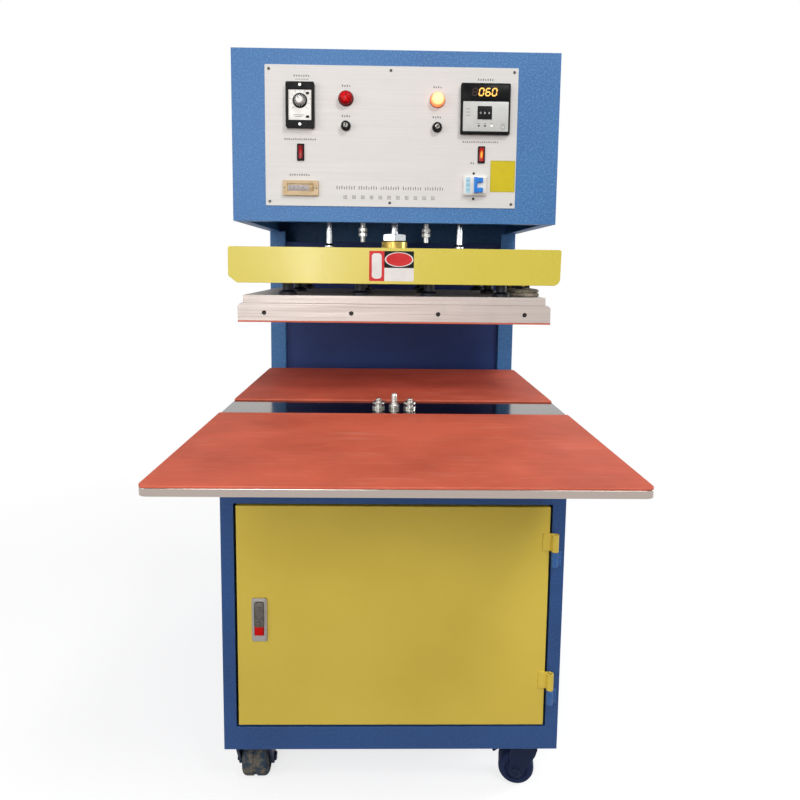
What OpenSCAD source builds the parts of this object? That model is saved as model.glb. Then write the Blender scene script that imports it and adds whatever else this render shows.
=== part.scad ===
// Two-station blister packing machine: a turntable with two red boards, a guided
// heat press under an overhanging control head, and a cabinet on four casters.
// Lengths in millimetres, +Z up, the working side faces -Y, origin on the floor
// under the middle of the bounding box.

/* [Machine] */
// width of the head and of the column behind the turntable
body_w = 640; // [560:5:720]
// turntable axis to the front face of the column
column_set = 600; // [570:5:680]
// depth of the column, front to back
column_d = 170; // [140:5:220]
// turntable axis to the front face of the head
head_set = 165; // [120:5:200]
// height of the head's housing
head_h = 329; // [300:1:380]
// thickness of the folded sheet
sheet = 2; // [1.5:0.5:3]

/* [Cabinet] */
// width of the cabinet under the turntable
cabinet_w = 580; // [500:5:600]
// turntable axis to the front face of the cabinet
cabinet_lead = 110; // [90:5:160]
// height from the underside of the base to the top of the deck
cabinet_h = 532; // [500:1:600]
// thickness of the base plate
base_t = 4; // [3:0.5:8]
// thickness of the deck that carries the turntable
deck_t = 6; // [4:1:12]
// width of the stile beside the door opening
stile_w = 22; // [20:1:40]
// height of the rail under the door opening
sill_h = 42; // [35:1:60]
// height of the rail over the door opening
lintel_h = 90; // [70:1:110]
// depth of the folded edge round the door opening
return_d = 26; // [24:1:40]

/* [Door] */
// gap between the door and its opening
door_gap = 4; // [3:0.5:6]
// depth of the door's folded edge
door_t = 20; // [15:1:22]
// outer radius of a hinge barrel
barrel_r = 6; // [5:0.5:8]
// radius of the hinge pin
hinge_pin_r = 3.5; // [2.5:0.5:4]
// length of the upper, door half of a hinge
knuckle_h = 30; // [24:1:36]
// length of the lower, frame half of a hinge
socket_h = 26; // [20:1:32]
// hinge barrel centre beyond the door's edge
hinge_out = 8; // [7:0.5:10]
// hinge split line above the bottom of the door, lower hinge
hinge_low = 69; // [50:1:100]
// hinge split line below the top of the door, upper hinge
hinge_high = 75; // [60:1:110]
// latch plate width
latch_w = 26; // [20:1:32]
// latch plate height
latch_h = 77; // [60:1:90]
// latch centre in from the door's free edge
latch_in = 38; // [30:1:60]

/* [Turntable] */
// width of a sealing board, across the machine
board_w = 600; // [500:5:640]
// length of a sealing board, from the hub outwards
board_l = 400; // [340:5:420]
// bright strip between the two boards
board_gap = 120; // [100:2:150]
// corner radius at the outer ends
board_r = 12; // [8:1:40]
// thickness of the turntable plate
plate_t = 10; // [8:1:16]
// thickness of the red silicone facings
pad_t = 3; // [2:0.5:5]
// top of the boards above the deck
table_rise = 54; // [46:1:80]
// half spacing of the two clamp studs
stud_x = 28; // [24:1:34]
// radius of the turntable shaft
shaft_r = 15; // [12:1:20]

/* [Press] */
// gap between the raised press and the boards
press_open = 146; // [120:1:180]
// downward travel of the press
press_stroke = 140; // [100:1:160]
// width of the heating plate
heater_w = 580; // [480:5:600]
// depth of the heating plate
heater_d = 400; // [340:5:420]
// thickness of the heating plate
heater_t = 32; // [24:1:40]
// width of the plate above the heating plate
cover_w = 560; // [460:5:580]
// thickness of the plate above the heating plate
cover_t = 15; // [10:1:20]
// height of the heat-resistant posts
post_h = 60; // [45:1:80]
// radius of the heat-resistant posts
post_r = 10; // [8:0.5:14]
// inner pair of posts from the middle
post_x_in = 65; // [50:1:90]
// outer pair of posts from the middle
post_x_out = 202; // [180:1:240]
// outer rows of posts in from the front and back of the plate
post_edge = 30; // [22:1:60]
// thickness of the crosshead
cross_t = 20; // [15:1:30]
// height of the guard sheet
guard_h = 66; // [50:1:80]
// width of the guard sheet
guard_w = 612; // [560:2:640]
// lower edge of the guard above the cover plate
guard_up = 22.5; // [10:0.5:30]
// cut at the lower corners of the guard
guard_cut = 13; // [8:1:20]
// radius of the guide rods
guide_r = 6; // [5:0.5:10]
// half spacing of the guide rods
guide_x = 138; // [110:1:180]
// radius of the piston rod
piston_r = 8; // [7:0.5:12]
// turntable axis to the axis of the piston rod
piston_set = 260; // [230:5:290]
// across-flats size of the lock nut
nut_af = 46; // [36:1:55]
// height of the lock nut
nut_t = 14; // [10:1:20]
// height of the coupling under the lock nut
flange_t = 28; // [20:1:36]
// bare piston rod between the lock nut and the head, press up
rod_show = 19; // [12:1:40]
// rod left above the guide plate, press down
rod_spare = 45; // [20:1:80]
// half spacing of the two stops
stop_x = 67; // [58:1:80]
// stops reach this far under the head
stop_drop = 36; // [20:1:40]
// press plates forward of the rear board's inner edge
press_lead = 8; // [0:1:10]

/* [Control panel] */
// width of the control plate
panel_w = 492; // [470:2:520]
// height of the control plate
panel_h = 268; // [250:2:290]
// control plate to the left of the middle
panel_off = 9; // [0:1:30]
// side columns of instruments, from the plate's centre line
inst_x = 177; // [165:1:190]
// lamps from the plate's centre line
lamp_x = 89; // [70:1:100]
// lamps above the middle of the plate
lamp_z = 72; // [60:1:90]
// lens radius of a lamp
lamp_r = 12; // [9:0.5:14]
// fuse caps above the middle of the plate
fuse_z = 20; // [10:1:30]
// side of the square temperature controller
ctl_side = 96; // [72:24:96]
// temperature controller above the middle of the plate
ctl_z = 55; // [45:1:60]
// timer width
timer_w = 55; // [48:1:60]
// timer height
timer_h = 86; // [80:1:92]
// timer above the middle of the plate
timer_z = 57; // [50:1:65]
// radius of the timer's knob
knob_r = 7; // [5:0.5:9]
// radius of the toothed skirt round the knob
knob_skirt = 13; // [11:0.5:15]
// rocker switches below the middle of the plate
rocker_z = 31; // [26:1:36]
// counter below the middle of the plate
counter_z = 100; // [92:1:110]
// breaker below the middle of the plate
breaker_z = 91; // [84:1:100]

/* [Casters] */
// wheel radius
wheel_r = 31.5; // [25:0.5:40]
// wheel width
wheel_w = 48; // [36:1:52]
// top of a wheel to the top of its caster's plate
caster_rise = 25; // [22:1:40]
// wheel axle behind the swivel axis
trail = 16; // [12:1:26]
// swivel axis in from the side of the cabinet
caster_in = 46; // [42:1:90]
// swivel axis behind the front face of the cabinet
caster_back = 44; // [42:1:90]
// rear swivel axis in from the back of the machine
caster_rear = 62; // [54:1:100]
// resting turn of the front left caster
yaw_fl = 0; // [-180:5:180]
// resting turn of the front right caster
yaw_fr = 80; // [-180:5:180]
// resting turn of the rear casters
yaw_rear = 10; // [-180:5:180]

/* [Clearances] */
// between a pin or rod and its bore, on the radius
run_clear = 0.1; // [0.05:0.05:0.3]
// between faces that turn past each other
face_clear = 0.5; // [0.3:0.1:1]
// under the turning table and beside other moving pieces
safe_clear = 6; // [5:1:10]

/* [Hidden] */
$fn = 48;
eps = 0.01;

// plan positions along Y
table_l = 2 * board_l + board_gap;
back_run = column_set + column_d;
pivot_y = (table_l / 2 - back_run) / 2;
head_y = pivot_y + head_set;
col_y = pivot_y + column_set;
back_y = pivot_y + back_run;
cab_y = pivot_y - cabinet_lead;

// heights of the fixed frame
caster_h = 2 * wheel_r + caster_rise;
base_z = caster_h;
floor_z = base_z + base_t;
deck_z = base_z + cabinet_h;
deck_low = deck_z - deck_t;
table_z = deck_z + table_rise;
plate_z = table_z - pad_t - plate_t;

// heights of the press when it is up
press_z = table_z + press_open;
heater_z = press_z + pad_t;
cover_z = heater_z + heater_t;
post_z = cover_z + cover_t;
cross_z = post_z + post_h;
cross_top = cross_z + cross_t;
head_z = cross_top + flange_t + nut_t + rod_show;
head_top = head_z + head_h;
mid_z = head_z + head_h / 2;

// press plan
press_y = pivot_y + board_gap / 2 - press_lead;
piston_y = pivot_y + piston_set;
guard_y = press_y - sheet;
guard_z = post_z + guard_up;

// column details
flange_w = 38;
recess = 20;
slot_h = 26;
half_w = body_w / 2;
half_c = cabinet_w / 2;
bottom_t = 10;
lip_w = 25;
plate_up = 30;
guide_z = head_z + plate_up;
rod_top = guide_z + press_stroke + rod_spare;

// door opening and door
open_w = cabinet_w - 2 * stile_w;
open_z0 = base_z + sill_h;
open_z1 = deck_z - lintel_h;
door_w = open_w - 2 * door_gap;
door_z0 = open_z0 + door_gap;
door_z1 = open_z1 - door_gap;
door_h = door_z1 - door_z0;
hinge_x = door_w / 2 + hinge_out;
hinge_y = cab_y - barrel_r - face_clear;
split_low = door_z0 + hinge_low;
split_high = door_z1 - hinge_high;
leaf_t = 3;
leaf_w = 12;
latch_x = latch_in - door_w / 2;
latch_z = (door_z0 + door_z1) / 2 - 3;

// control plate
panel_t = 2;
panel_x = -panel_off;
face_y = head_y - panel_t;
knob_up = 8;

// bearing column of the turntable
foot_r = 80;
foot_t = 12;
bearing_r = 52;
collar_t = 4;

// stops under the head
stop_r = 5;
stop_nut_r = 9;
stop_nut_t = 8;
stop_nut_z = 12;
stop_nut_step = 10;

// screw holes in the front of the heating plate
screw_step = 161;
screw_r = 4;
screw_deep = 14;

// sleeved heater leads: loops on the cover plate that start and end in one terminal block
lead_r = 3.5;
lead_seat = 0.3;
lead_loops = [14, 22];
lead_layers = 2;
lead_turn = 55;
block_w = 54;
block_d = 30;
block_t = 16;
block_at = 150;
fin_t = 2;
fin_h = 24;
lead_x = (cover_w - block_w) / 2;
block_y = press_y + block_at;

// casters
caster_x = half_c - caster_in;
caster_front_y = cab_y + caster_back;
caster_rear_y = back_y - caster_rear;
ctop_side = 76;
ctop_t = 4;
king_r = 6;
race_r = 34;
web_t = 8;
web_z = caster_h - ctop_t - face_clear - web_t;
yoke_t = 3;
leg_gap = 2.5;
leg_t = 5;
leg_r = 12;
axle_r = 5;
axle_head = 3.5;
lever_w = 22;
lever_t = 3;
hub_r = 9;
dish = 3;
shoulder = 9;
groove = 4;

// Points on an arc, for an outline or a route.
function arc(c, r, a0, a1, n = 6) =
  [for (i = [0:n]) let (a = a0 + (a1 - a0) * i / n) c + r * [cos(a), sin(a)]];

// A block from two opposite corners.
module span(low, high) {
  translate(low)
    cube(high - low);
}

// A flat plate with four round corners, centred in plan, from z = 0 up.
module round_plate(w, d, t, r) {
  linear_extrude(t) {
    square([w - 2 * r, d], center = true);
    square([w, d - 2 * r], center = true);
    for (sx = [-1, 1], sy = [-1, 1])
      translate([sx * (w / 2 - r), sy * (d / 2 - r)])
        circle(r);
  }
}

// A hexagon nut with its top edge turned round, from its bottom face up.
module nut(r, h) {
  intersection() {
    cylinder(r = r, h = h, $fn = 6);
    rotate_extrude()
      polygon([[0, 0], [r - 0.6, 0], [r, 0.8], [r, h - 1.2], [r * 0.86, h], [0, h]]);
  }
}

// Stands a drawing up on the control plate: its Z comes out towards the user.
module on_panel(x, z) {
  translate([panel_x + x, face_y, mid_z + z])
    rotate([90, 0, 0])
      children();
}

module base_plate() {
  color("#2d5596") {
    span([-half_c, cab_y + sheet, base_z], [half_c, col_y + eps, floor_z]);
    span([-half_w, col_y, base_z], [half_w, back_y, floor_z]);
  }
}

module cabinet_wall(s) {
  inner = half_c - sheet;
  x0 = s < 0 ? -half_c : inner;
  x1 = s < 0 ? -inner : half_c;
  span([x0, cab_y + sheet, floor_z], [x1, col_y, deck_low]);
}

module cabinet_left_wall() {
  color("#2d5596")
    cabinet_wall(-1);
}

module cabinet_right_wall() {
  color("#2d5596")
    cabinet_wall(1);
}

module cabinet_back_wall() {
  inner = half_c - sheet;
  color("#24457c")
    span([-inner, col_y - sheet, floor_z], [inner, col_y, deck_low]);
}

module cabinet_deck() {
  color("#2d5596")
    span([-half_c, cab_y + sheet, deck_low], [half_c, col_y, deck_z]);
}

// Front sheet with the door opening and its folded edge.
module cabinet_front_frame() {
  ow = open_w / 2;
  color("#2d5596") {
    difference() {
      span([-half_c, cab_y, base_z], [half_c, cab_y + sheet, deck_z]);
      span([-ow, cab_y - 1, open_z0], [ow, cab_y + sheet + 1, open_z1]);
    }
    difference() {
      span([-ow - sheet, cab_y + sheet, open_z0 - sheet],
        [ow + sheet, cab_y + return_d, open_z1 + sheet]);
      span([-ow, cab_y, open_z0], [ow, cab_y + return_d + 1, open_z1]);
    }
  }
}

// Lower half of a lift-off hinge: leaf, barrel and standing pin.
module hinge_pin_half(z) {
  low = z - socket_h;
  top = z - face_clear;
  translate([hinge_x, hinge_y, low])
    cylinder(r = barrel_r, h = top - low);
  translate([hinge_x, hinge_y, low])
    cylinder(r = hinge_pin_r, h = socket_h + knuckle_h - 4);
  span([hinge_x - 2, cab_y - leaf_t, low], [hinge_x + leaf_w, cab_y, top]);
}

module hinge_pins() {
  color("#2d5596")
    for (z = [split_low, split_high])
      hinge_pin_half(z);
}

// Inverted-L side sheet: column below, head above, with the column's front flange.
module side_panel(s) {
  x_out = half_w - sheet;
  mirror([s < 0 ? 1 : 0, 0, 0]) {
    span([x_out, col_y, floor_z], [half_w, back_y - sheet, head_top]);
    span([x_out, head_y + sheet, head_z], [half_w, col_y + eps, head_top]);
    span([half_w - flange_w, col_y, floor_z], [half_w, col_y + sheet, head_z]);
    span([half_w - flange_w, col_y, floor_z],
      [half_w - flange_w + sheet, col_y + recess + sheet, head_z]);
    span([half_w - lip_w, head_y + sheet, head_z], [half_w, col_y + eps, head_z + sheet]);
  }
}

module left_side_panel() {
  color("#4b7db9")
    side_panel(-1);
}

module right_side_panel() {
  color("#4b7db9")
    side_panel(1);
}

module column_front_panel() {
  x = half_w - flange_w;
  top = head_z - slot_h;
  color("#1e2b50") {
    span([-x, col_y + recess, floor_z], [x, col_y + recess + sheet, top]);
    span([-x, col_y + recess, top - sheet], [x, col_y + recess + lip_w, top]);
  }
}

module back_panel() {
  color("#4b7db9")
    span([-half_w, back_y - sheet, floor_z], [half_w, back_y, head_top]);
}

module head_front_panel() {
  lip_x = half_w - lip_w;
  color("#4b7db9") {
    span([-half_w, head_y, head_z], [half_w, head_y + sheet, head_top]);
    span([-lip_x, head_y, head_z], [lip_x, head_y + lip_w, head_z + sheet]);
  }
}

module head_top_panel() {
  x = half_w - sheet;
  color("#4b7db9")
    span([-x, head_y + sheet, head_top - sheet], [x, back_y - sheet, head_top]);
}

// Thick plate set up inside the head: it guides the two rods and the piston rod.
module head_bottom_panel() {
  x = half_w - sheet;
  color("#2d5596")
    difference() {
      span([-x, head_y + sheet, guide_z], [x, col_y + recess, guide_z + bottom_t]);
      for (gx = [-guide_x, guide_x])
        translate([gx, piston_y, guide_z - 1])
          cylinder(r = guide_r + run_clear, h = bottom_t + 2);
      translate([0, piston_y, guide_z - 1])
        cylinder(r = piston_r + run_clear, h = bottom_t + 2);
    }
}

module control_panel() {
  color("#e4e1dc")
    translate([panel_x, head_y, mid_z])
      rotate([90, 0, 0])
        round_plate(panel_w, panel_h, panel_t, 2);
}

module timer_frame() {
  win_w = timer_w - 10;
  win_h = timer_h - 28;
  color("#17181a")
    on_panel(-inst_x, timer_z)
      difference() {
        round_plate(timer_w, timer_h, 12, 3);
        translate([-win_w / 2, -win_h / 2, 4])
          cube([win_w, win_h, 12]);
      }
}

module timer_dial() {
  dial_w = timer_w - 11;
  dial_h = timer_h - 29;
  color("#ecebe6")
    on_panel(-inst_x, timer_z) {
      translate([-dial_w / 2, -dial_h / 2, 4])
        cube([dial_w, dial_h, 5]);
      translate([0, knob_up, 9 - eps])
        rotate_extrude()
          polygon([[0, 0], [knob_skirt, 0], [knob_skirt, 2], [knob_skirt - 1, 3.5],
            [knob_r + 1, 4], [knob_r, 6], [knob_r, 12], [knob_r - 1, 13], [0, 13]]);
    }
}

module temperature_controller() {
  s = ctl_side;
  win = s - 8;
  color("#b9bab6")
    on_panel(inst_x + 5, ctl_z)
      difference() {
        union() {
          round_plate(s, s, 10, 3);
          round_plate(s - 3, s - 3, 13, 3);
        }
        translate([-win / 2, win / 6, 11.5])
          cube([win, win / 3, 3]);
      }
}

module counter() {
  color("#cfc6a8")
    on_panel(-inst_x, -counter_z)
      difference() {
        round_plate(70, 29, 7, 2);
        translate([-26, -8, 4.5])
          cube([52, 16, 4]);
      }
}

// Turned pilot lamp: threaded collar and domed lens.
module lamp() {
  k = lamp_r;
  rotate_extrude()
    polygon([[0, 0], [k + 3, 0], [k + 3, 3], [k + 2, 5], [k, 5], [k, 10],
      [k * 0.92, 13], [k * 0.7, 15.5], [k * 0.4, 17], [0, 17.5]]);
}

module red_lamp() {
  color("#b3261c")
    on_panel(-lamp_x, lamp_z)
      lamp();
}

module amber_lamp() {
  color("#f0a040")
    on_panel(lamp_x, lamp_z)
      lamp();
}

// Screw-in fuse holder caps with a coin slot.
module fuse_caps() {
  color("#17181a")
    for (sx = [-1, 1])
      on_panel(sx * lamp_x, fuse_z)
        difference() {
          rotate_extrude()
            polygon([[0, 0], [9.5, 0], [9.5, 3], [8, 4], [8, 12], [7, 13.5], [0, 13.5]]);
          translate([-10, -0.8, 11.5])
            cube([20, 1.6, 4]);
        }
}

// Rocker switches: a bezel each and a rocker tipped to one side.
module rocker_switches() {
  rw = 13;
  rh = 30;
  color("#a3201c")
    for (sx = [-1, 1])
      on_panel(sx * inst_x, -rocker_z) {
        round_plate(rw + 4, rh + 4, 3, 1.5);
        rotate([90, 0, 90])
          translate([0, 0, -rw / 2])
            linear_extrude(rw)
              polygon([[-rh / 2, 2], [rh / 2, 2], [rh / 2, 8], [0, 5], [-rh / 2, 4]]);
      }
}

module breaker() {
  color("#e6e6e2")
    on_panel(inst_x - 12, -breaker_z) {
      translate([-24, -20, 0])
        cube([48, 40, 4]);
      translate([-18, -12, 4])
        cube([36, 24, 6]);
      translate([-1, -3, 10])
        cube([17, 10, 9]);
    }
}

// Two screwed stops that hang from the guide plate, each with two nuts.
module stop_bolts() {
  low = head_z - stop_drop;
  color("#b9b7b0")
    for (sx = [-1, 1])
      translate([sx * stop_x, piston_y, low]) {
        cylinder(r = stop_r, h = guide_z - low);
        for (k = [0, 1])
          translate([0, 0, stop_nut_z + k * stop_nut_step])
            nut(stop_nut_r, stop_nut_t);
      }
}

// Fixed bearing column with the shaft that the turntable turns on.
module pivot_post() {
  top = plate_z - face_clear;
  color("#8d8f90")
    translate([0, pivot_y, 0])
      rotate_extrude()
        polygon([[0, deck_z], [foot_r, deck_z], [foot_r, deck_z + foot_t],
          [bearing_r + collar_t, deck_z + foot_t], [bearing_r, deck_z + foot_t + collar_t],
          [bearing_r, top], [shaft_r, top], [shaft_r, plate_z + plate_t - 2],
          [0, plate_z + plate_t - 2]]);
}

// Steel support under the board that is being pressed.
module press_anvil() {
  aw = board_w - 160;
  ad = board_l - 120;
  top = plate_z - safe_clear;
  y0 = pivot_y + board_gap / 2 + 60;
  color("#8d8f90")
    span([-aw / 2, y0, deck_z], [aw / 2, y0 + ad, top]);
}

// Where each caster stands: x, y and resting turn.
function caster_at(i) = i == 0 ? [-caster_x, caster_front_y, yaw_fl]
  : i == 1 ? [caster_x, caster_front_y, yaw_fr]
  : i == 2 ? [-caster_x, caster_rear_y, yaw_rear]
  : [caster_x, caster_rear_y, yaw_rear];

module at_caster(i) {
  c = caster_at(i);
  translate([c[0], c[1], 0])
    rotate([0, 0, c[2]])
      children();
}

// Top plates with the king pins that the forks turn on.
module caster_plates() {
  color("#b9b7b0")
    for (i = [0:3])
      at_caster(i)
        rotate([0, 0, -caster_at(i)[2]]) {
          translate([0, 0, caster_h - ctop_t])
            round_plate(ctop_side, ctop_side, ctop_t, 6);
          translate([0, 0, web_z - 2])
            cylinder(r = king_r, h = caster_h - ctop_t - web_z + 2 + eps);
        }
}

// Foot lever of a braked caster, folded from the yoke over the tread.
module brake_lever() {
  root = race_r - 14;
  reach = trail + wheel_r + 8.5;
  translate([-lever_w / 2, 0, 0])
    rotate([90, 0, 90])
      linear_extrude(lever_w)
        polygon([[root - 9, web_z], [root, web_z], [reach - 12, web_z - 15],
          [reach, web_z - 24], [reach + lever_t, web_z - 22], [reach - 10, web_z - 12],
          [root + 1, web_z + lever_t], [root - 9, web_z + lever_t]]);
}

// One leg of a fork: wide under the race, with a round end at the axle.
module fork_leg() {
  linear_extrude(leg_t) {
    polygon([[-race_r * 0.6, web_z + yoke_t], [race_r * 0.75, web_z + yoke_t],
      [trail + leg_r, wheel_r], [trail - leg_r, wheel_r], [-race_r * 0.5, web_z - 10]]);
    translate([trail, wheel_r])
      circle(leg_r);
  }
}

// Swivelling fork: turned race, pressed yoke, two legs with round ends and the axle.
module caster_fork(i) {
  inner = wheel_w / 2 + leg_gap;
  outer = inner + leg_t;
  color("#26282c")
    at_caster(i)
      difference() {
        union() {
          translate([0, 0, web_z])
            rotate_extrude()
              polygon([[0, 0], [race_r - 4, 0], [race_r - 1, 3], [race_r, 5],
                [race_r - 1, web_t - 1], [race_r - 3, web_t], [0, web_t]]);
          translate([-outer, -race_r * 0.6, web_z])
            cube([2 * outer, race_r * 1.35, yoke_t]);
          for (x = [inner, -outer])
            translate([x, 0, 0])
              rotate([90, 0, 90])
                fork_leg();
          translate([-outer, trail, wheel_r])
            rotate([0, 90, 0])
              cylinder(r = axle_r, h = 2 * outer);
          for (s = [-1, 1])
            translate([s * outer, trail, wheel_r])
              rotate([0, s * 90, 0])
                nut(axle_r * 1.7, axle_head);
          if (i < 2)
            brake_lever();
        }
        translate([0, 0, web_z - 1])
          cylinder(r = king_r + run_clear, h = web_t + 2);
      }
}

module caster_fork_fl() {
  caster_fork(0);
}

module caster_fork_fr() {
  caster_fork(1);
}

module caster_fork_rl() {
  caster_fork(2);
}

module caster_fork_rr() {
  caster_fork(3);
}

// Half the section of a wheel, from its bore out: hub, dish, round shoulder and tread.
function wheel_half() = let (h = wheel_w / 2, rim = wheel_r - shoulder) concat(
  [[axle_r + run_clear, h], [hub_r, h], [hub_r + 1.5, h - dish], [rim - 4, h - dish],
    [rim - 2.5, h]],
  arc([rim, h - shoulder], shoulder, 90, 0, 5),
  [[wheel_r, groove], [wheel_r - groove / 2, groove / 2]]);

// Turned wheel with round shoulders, a grooved tread and dished sides.
module caster_wheel(i) {
  half = wheel_half();
  last = len(half) - 1;
  color("#3a3733")
    at_caster(i)
      translate([0, trail, wheel_r])
        rotate([0, 90, 0])
          rotate_extrude()
            polygon(concat(half, [for (k = [last:-1:0]) [half[k][0], -half[k][1]]]));
}

module caster_wheel_fl() {
  caster_wheel(0);
}

module caster_wheel_fr() {
  caster_wheel(1);
}

module caster_wheel_rl() {
  caster_wheel(2);
}

module caster_wheel_rr() {
  caster_wheel(3);
}

// Upper half of a lift-off hinge on the door's edge.
module door_knuckle(z) {
  edge = door_w / 2;
  translate([hinge_x, hinge_y, z])
    cylinder(r = barrel_r, h = knuckle_h);
  span([edge - leaf_w, cab_y - leaf_t, z], [edge, cab_y + eps, z + knuckle_h]);
  span([edge - leaf_w, cab_y - leaf_t, z], [hinge_x, cab_y - face_clear, z + knuckle_h]);
}

// Door pan of folded sheet, flush in its opening, with the barrels on its right edge.
module door() {
  color("#c3ae4a")
    difference() {
      union() {
        difference() {
          span([-door_w / 2, cab_y, door_z0], [door_w / 2, cab_y + door_t, door_z1]);
          span([-door_w / 2 + sheet, cab_y + sheet, door_z0 + sheet],
            [door_w / 2 - sheet, cab_y + door_t + 1, door_z1 - sheet]);
        }
        for (z = [split_low, split_high])
          door_knuckle(z);
      }
      for (z = [split_low, split_high])
        translate([hinge_x, hinge_y, z - 1])
          cylinder(r = hinge_pin_r + run_clear, h = knuckle_h + 2);
    }
}

module door_latch() {
  color("#c8ccd0")
    translate([latch_x, cab_y, latch_z])
      rotate([90, 0, 0])
        difference() {
          union() {
            round_plate(latch_w, latch_h, 3, 3);
            round_plate(latch_w - 4, latch_h - 4, 5, 2);
          }
          translate([-latch_w / 2 + 5, -latch_h / 2 + 12, 2])
            cube([latch_w - 10, 18, 4]);
        }
}

module latch_button() {
  bw = latch_w - 11;
  color("#b3261c")
    translate([latch_x, cab_y - 2, latch_z - latch_h / 2 + 21])
      rotate([90, 0, 0])
        round_plate(bw, 17, 5, 1);
}

// One plate under both boards; its bore runs on the pivot shaft.
module table_plate() {
  color("#cfd0d0")
    translate([0, pivot_y, plate_z])
      difference() {
        round_plate(board_w, table_l, plate_t, board_r);
        translate([0, 0, -1])
          cylinder(r = shaft_r + run_clear, h = plate_t - 2 + face_clear + 1);
      }
}

// Silicone facing with round corners at its outer end.
module board_pad(s) {
  y_in = s * board_gap / 2;
  y_out = s * (board_gap / 2 + board_l);
  r = board_r;
  translate([0, pivot_y, table_z - pad_t])
    linear_extrude(pad_t) {
      translate([-board_w / 2, min(y_in, y_out - s * r)])
        square([board_w, board_l - r]);
      translate([-board_w / 2 + r, min(y_in, y_out)])
        square([board_w - 2 * r, board_l]);
      for (sx = [-1, 1])
        translate([sx * (board_w / 2 - r), y_out - s * r])
          circle(r);
    }
}

module front_pad() {
  color("#c8634c")
    board_pad(-1);
}

module rear_pad() {
  color("#b04a36")
    board_pad(1);
}

// Centre pin and the two clamp studs with their collars.
module hub_studs() {
  color("#b9b7b0")
    translate([0, pivot_y, table_z - pad_t]) {
      rotate_extrude()
        polygon([[0, 0], [9, 0], [9, 6], [6, 9], [5, 24], [3.5, 27], [0, 27]]);
      for (sx = [-1, 1])
        translate([sx * stud_x, 0, 0])
          rotate_extrude()
            polygon([[0, 0], [11, 0], [11, 4], [6, 4], [6, 8], [11, 8], [11, 12],
              [5, 12], [5, 17], [4, 18], [0, 18]]);
    }
}

module crosshead() {
  color("#8d8f90")
    span([-cover_w / 2, press_y, cross_z], [cover_w / 2, press_y + heater_d, cross_top]);
}

// Guide rods with the nuts that clamp them to the crosshead.
module guide_rods() {
  color("#c8ccd0")
    for (sx = [-1, 1])
      translate([sx * guide_x, piston_y, cross_top]) {
        cylinder(r = guide_r, h = rod_top - cross_top);
        nut(12, 12);
        translate([0, 0, 12])
          rotate_extrude()
            polygon([[0, 0], [9, 0], [9.5, 3], [9, 6], [7.5, 8.5], [guide_r, 9.5], [0, 9.5]]);
      }
}

// Piston rod with its lock nut.
module piston_rod() {
  nut_r = nut_af / sqrt(3);
  color("#c8ccd0")
    translate([0, piston_y, cross_top + flange_t]) {
      cylinder(r = piston_r, h = rod_top - cross_top - flange_t);
      rotate([0, 0, 30])
        nut(nut_r, nut_t);
    }
}

module rod_flange() {
  r = nut_af * 0.6;
  color("#b59a4e")
    translate([0, piston_y, cross_top])
      rotate_extrude()
        polygon([[0, 0], [r + 18, 0], [r + 18, 9], [r + 17, 10], [r, 10],
          [r, flange_t - 2], [r - 2, flange_t], [0, flange_t]]);
}

// Guard sheet across the front of the crosshead: cut lower corners, eased upper ones.
module guard() {
  w = guard_w / 2;
  k = guard_cut;
  e = 4;
  color("#dccb5a")
    translate([0, guard_y + sheet, guard_z])
      rotate([90, 0, 0])
        linear_extrude(sheet)
          polygon(concat(
            arc([e - w, guard_h - e], e, 180, 90),
            arc([w - e, guard_h - e], e, 90, 0),
            arc([w - k - 1, k], k, 0, -90),
            arc([k + e - w, e], e, 270, 225),
            arc([e - w, k + e * 0.4], e, 225, 180)));
}

// Heat-resistant posts between the heated plates and the crosshead.
module spacer_posts() {
  color("#17181a")
    for (s = [-1, 1], x = [post_x_in, post_x_out], y = [post_edge, heater_d / 2, heater_d - post_edge])
      translate([s * x, press_y + y, post_z])
        rotate_extrude()
          polygon([[0, 0], [post_r * 1.7, 0], [post_r * 1.7, 5], [post_r, 9],
            [post_r, post_h], [0, post_h]]);
}

module cover_plate() {
  color("#c2bdb8")
    span([-cover_w / 2, press_y, cover_z], [cover_w / 2, press_y + heater_d, post_z]);
}

// Heating plate with four countersunk screw holes in its front edge.
module heater_plate() {
  w = heater_w / 2;
  c = 5;
  color("#cfc6c0")
    difference() {
      translate([0, press_y + heater_d, heater_z])
        rotate([90, 0, 0])
          linear_extrude(heater_d)
            polygon([[-w, 0], [w, 0], [w, heater_t - c], [w - c, heater_t],
              [c - w, heater_t], [-w, heater_t - c]]);
      for (i = [-1.5, -0.5, 0.5, 1.5])
        translate([i * screw_step, press_y - 1, heater_z + heater_t * 0.45])
          rotate([-90, 0, 0])
            cylinder(r = screw_r, h = screw_deep);
    }
}

// Route of one lead: out of the block, round a half turn and back, at one level.
function lead_route(r, level) = let (z = post_z + lead_seat + lead_r * (1 + 2 * level),
    end = block_y - lead_seat, bend = press_y + lead_turn + level * lead_r)
  [for (p = concat([[lead_x - r, end], [lead_x - r, (end + bend) / 2]],
      arc([lead_x, bend], r, 180, 360, 12),
      [[lead_x + r, (end + bend) / 2], [lead_x + r, end]])) [p[0], p[1], z]];

// A round ring of points across a level route at its point i.
function lead_ring(route, i, n) = let (a = route[max(i - 1, 0)],
    b = route[min(i + 1, len(route) - 1)], side = cross(b - a, [0, 0, 1]) / norm(b - a))
  [for (k = [0:n - 1]) let (t = 360 * k / n)
    route[i] + lead_r * (cos(t) * side + sin(t) * [0, 0, 1])];

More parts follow.
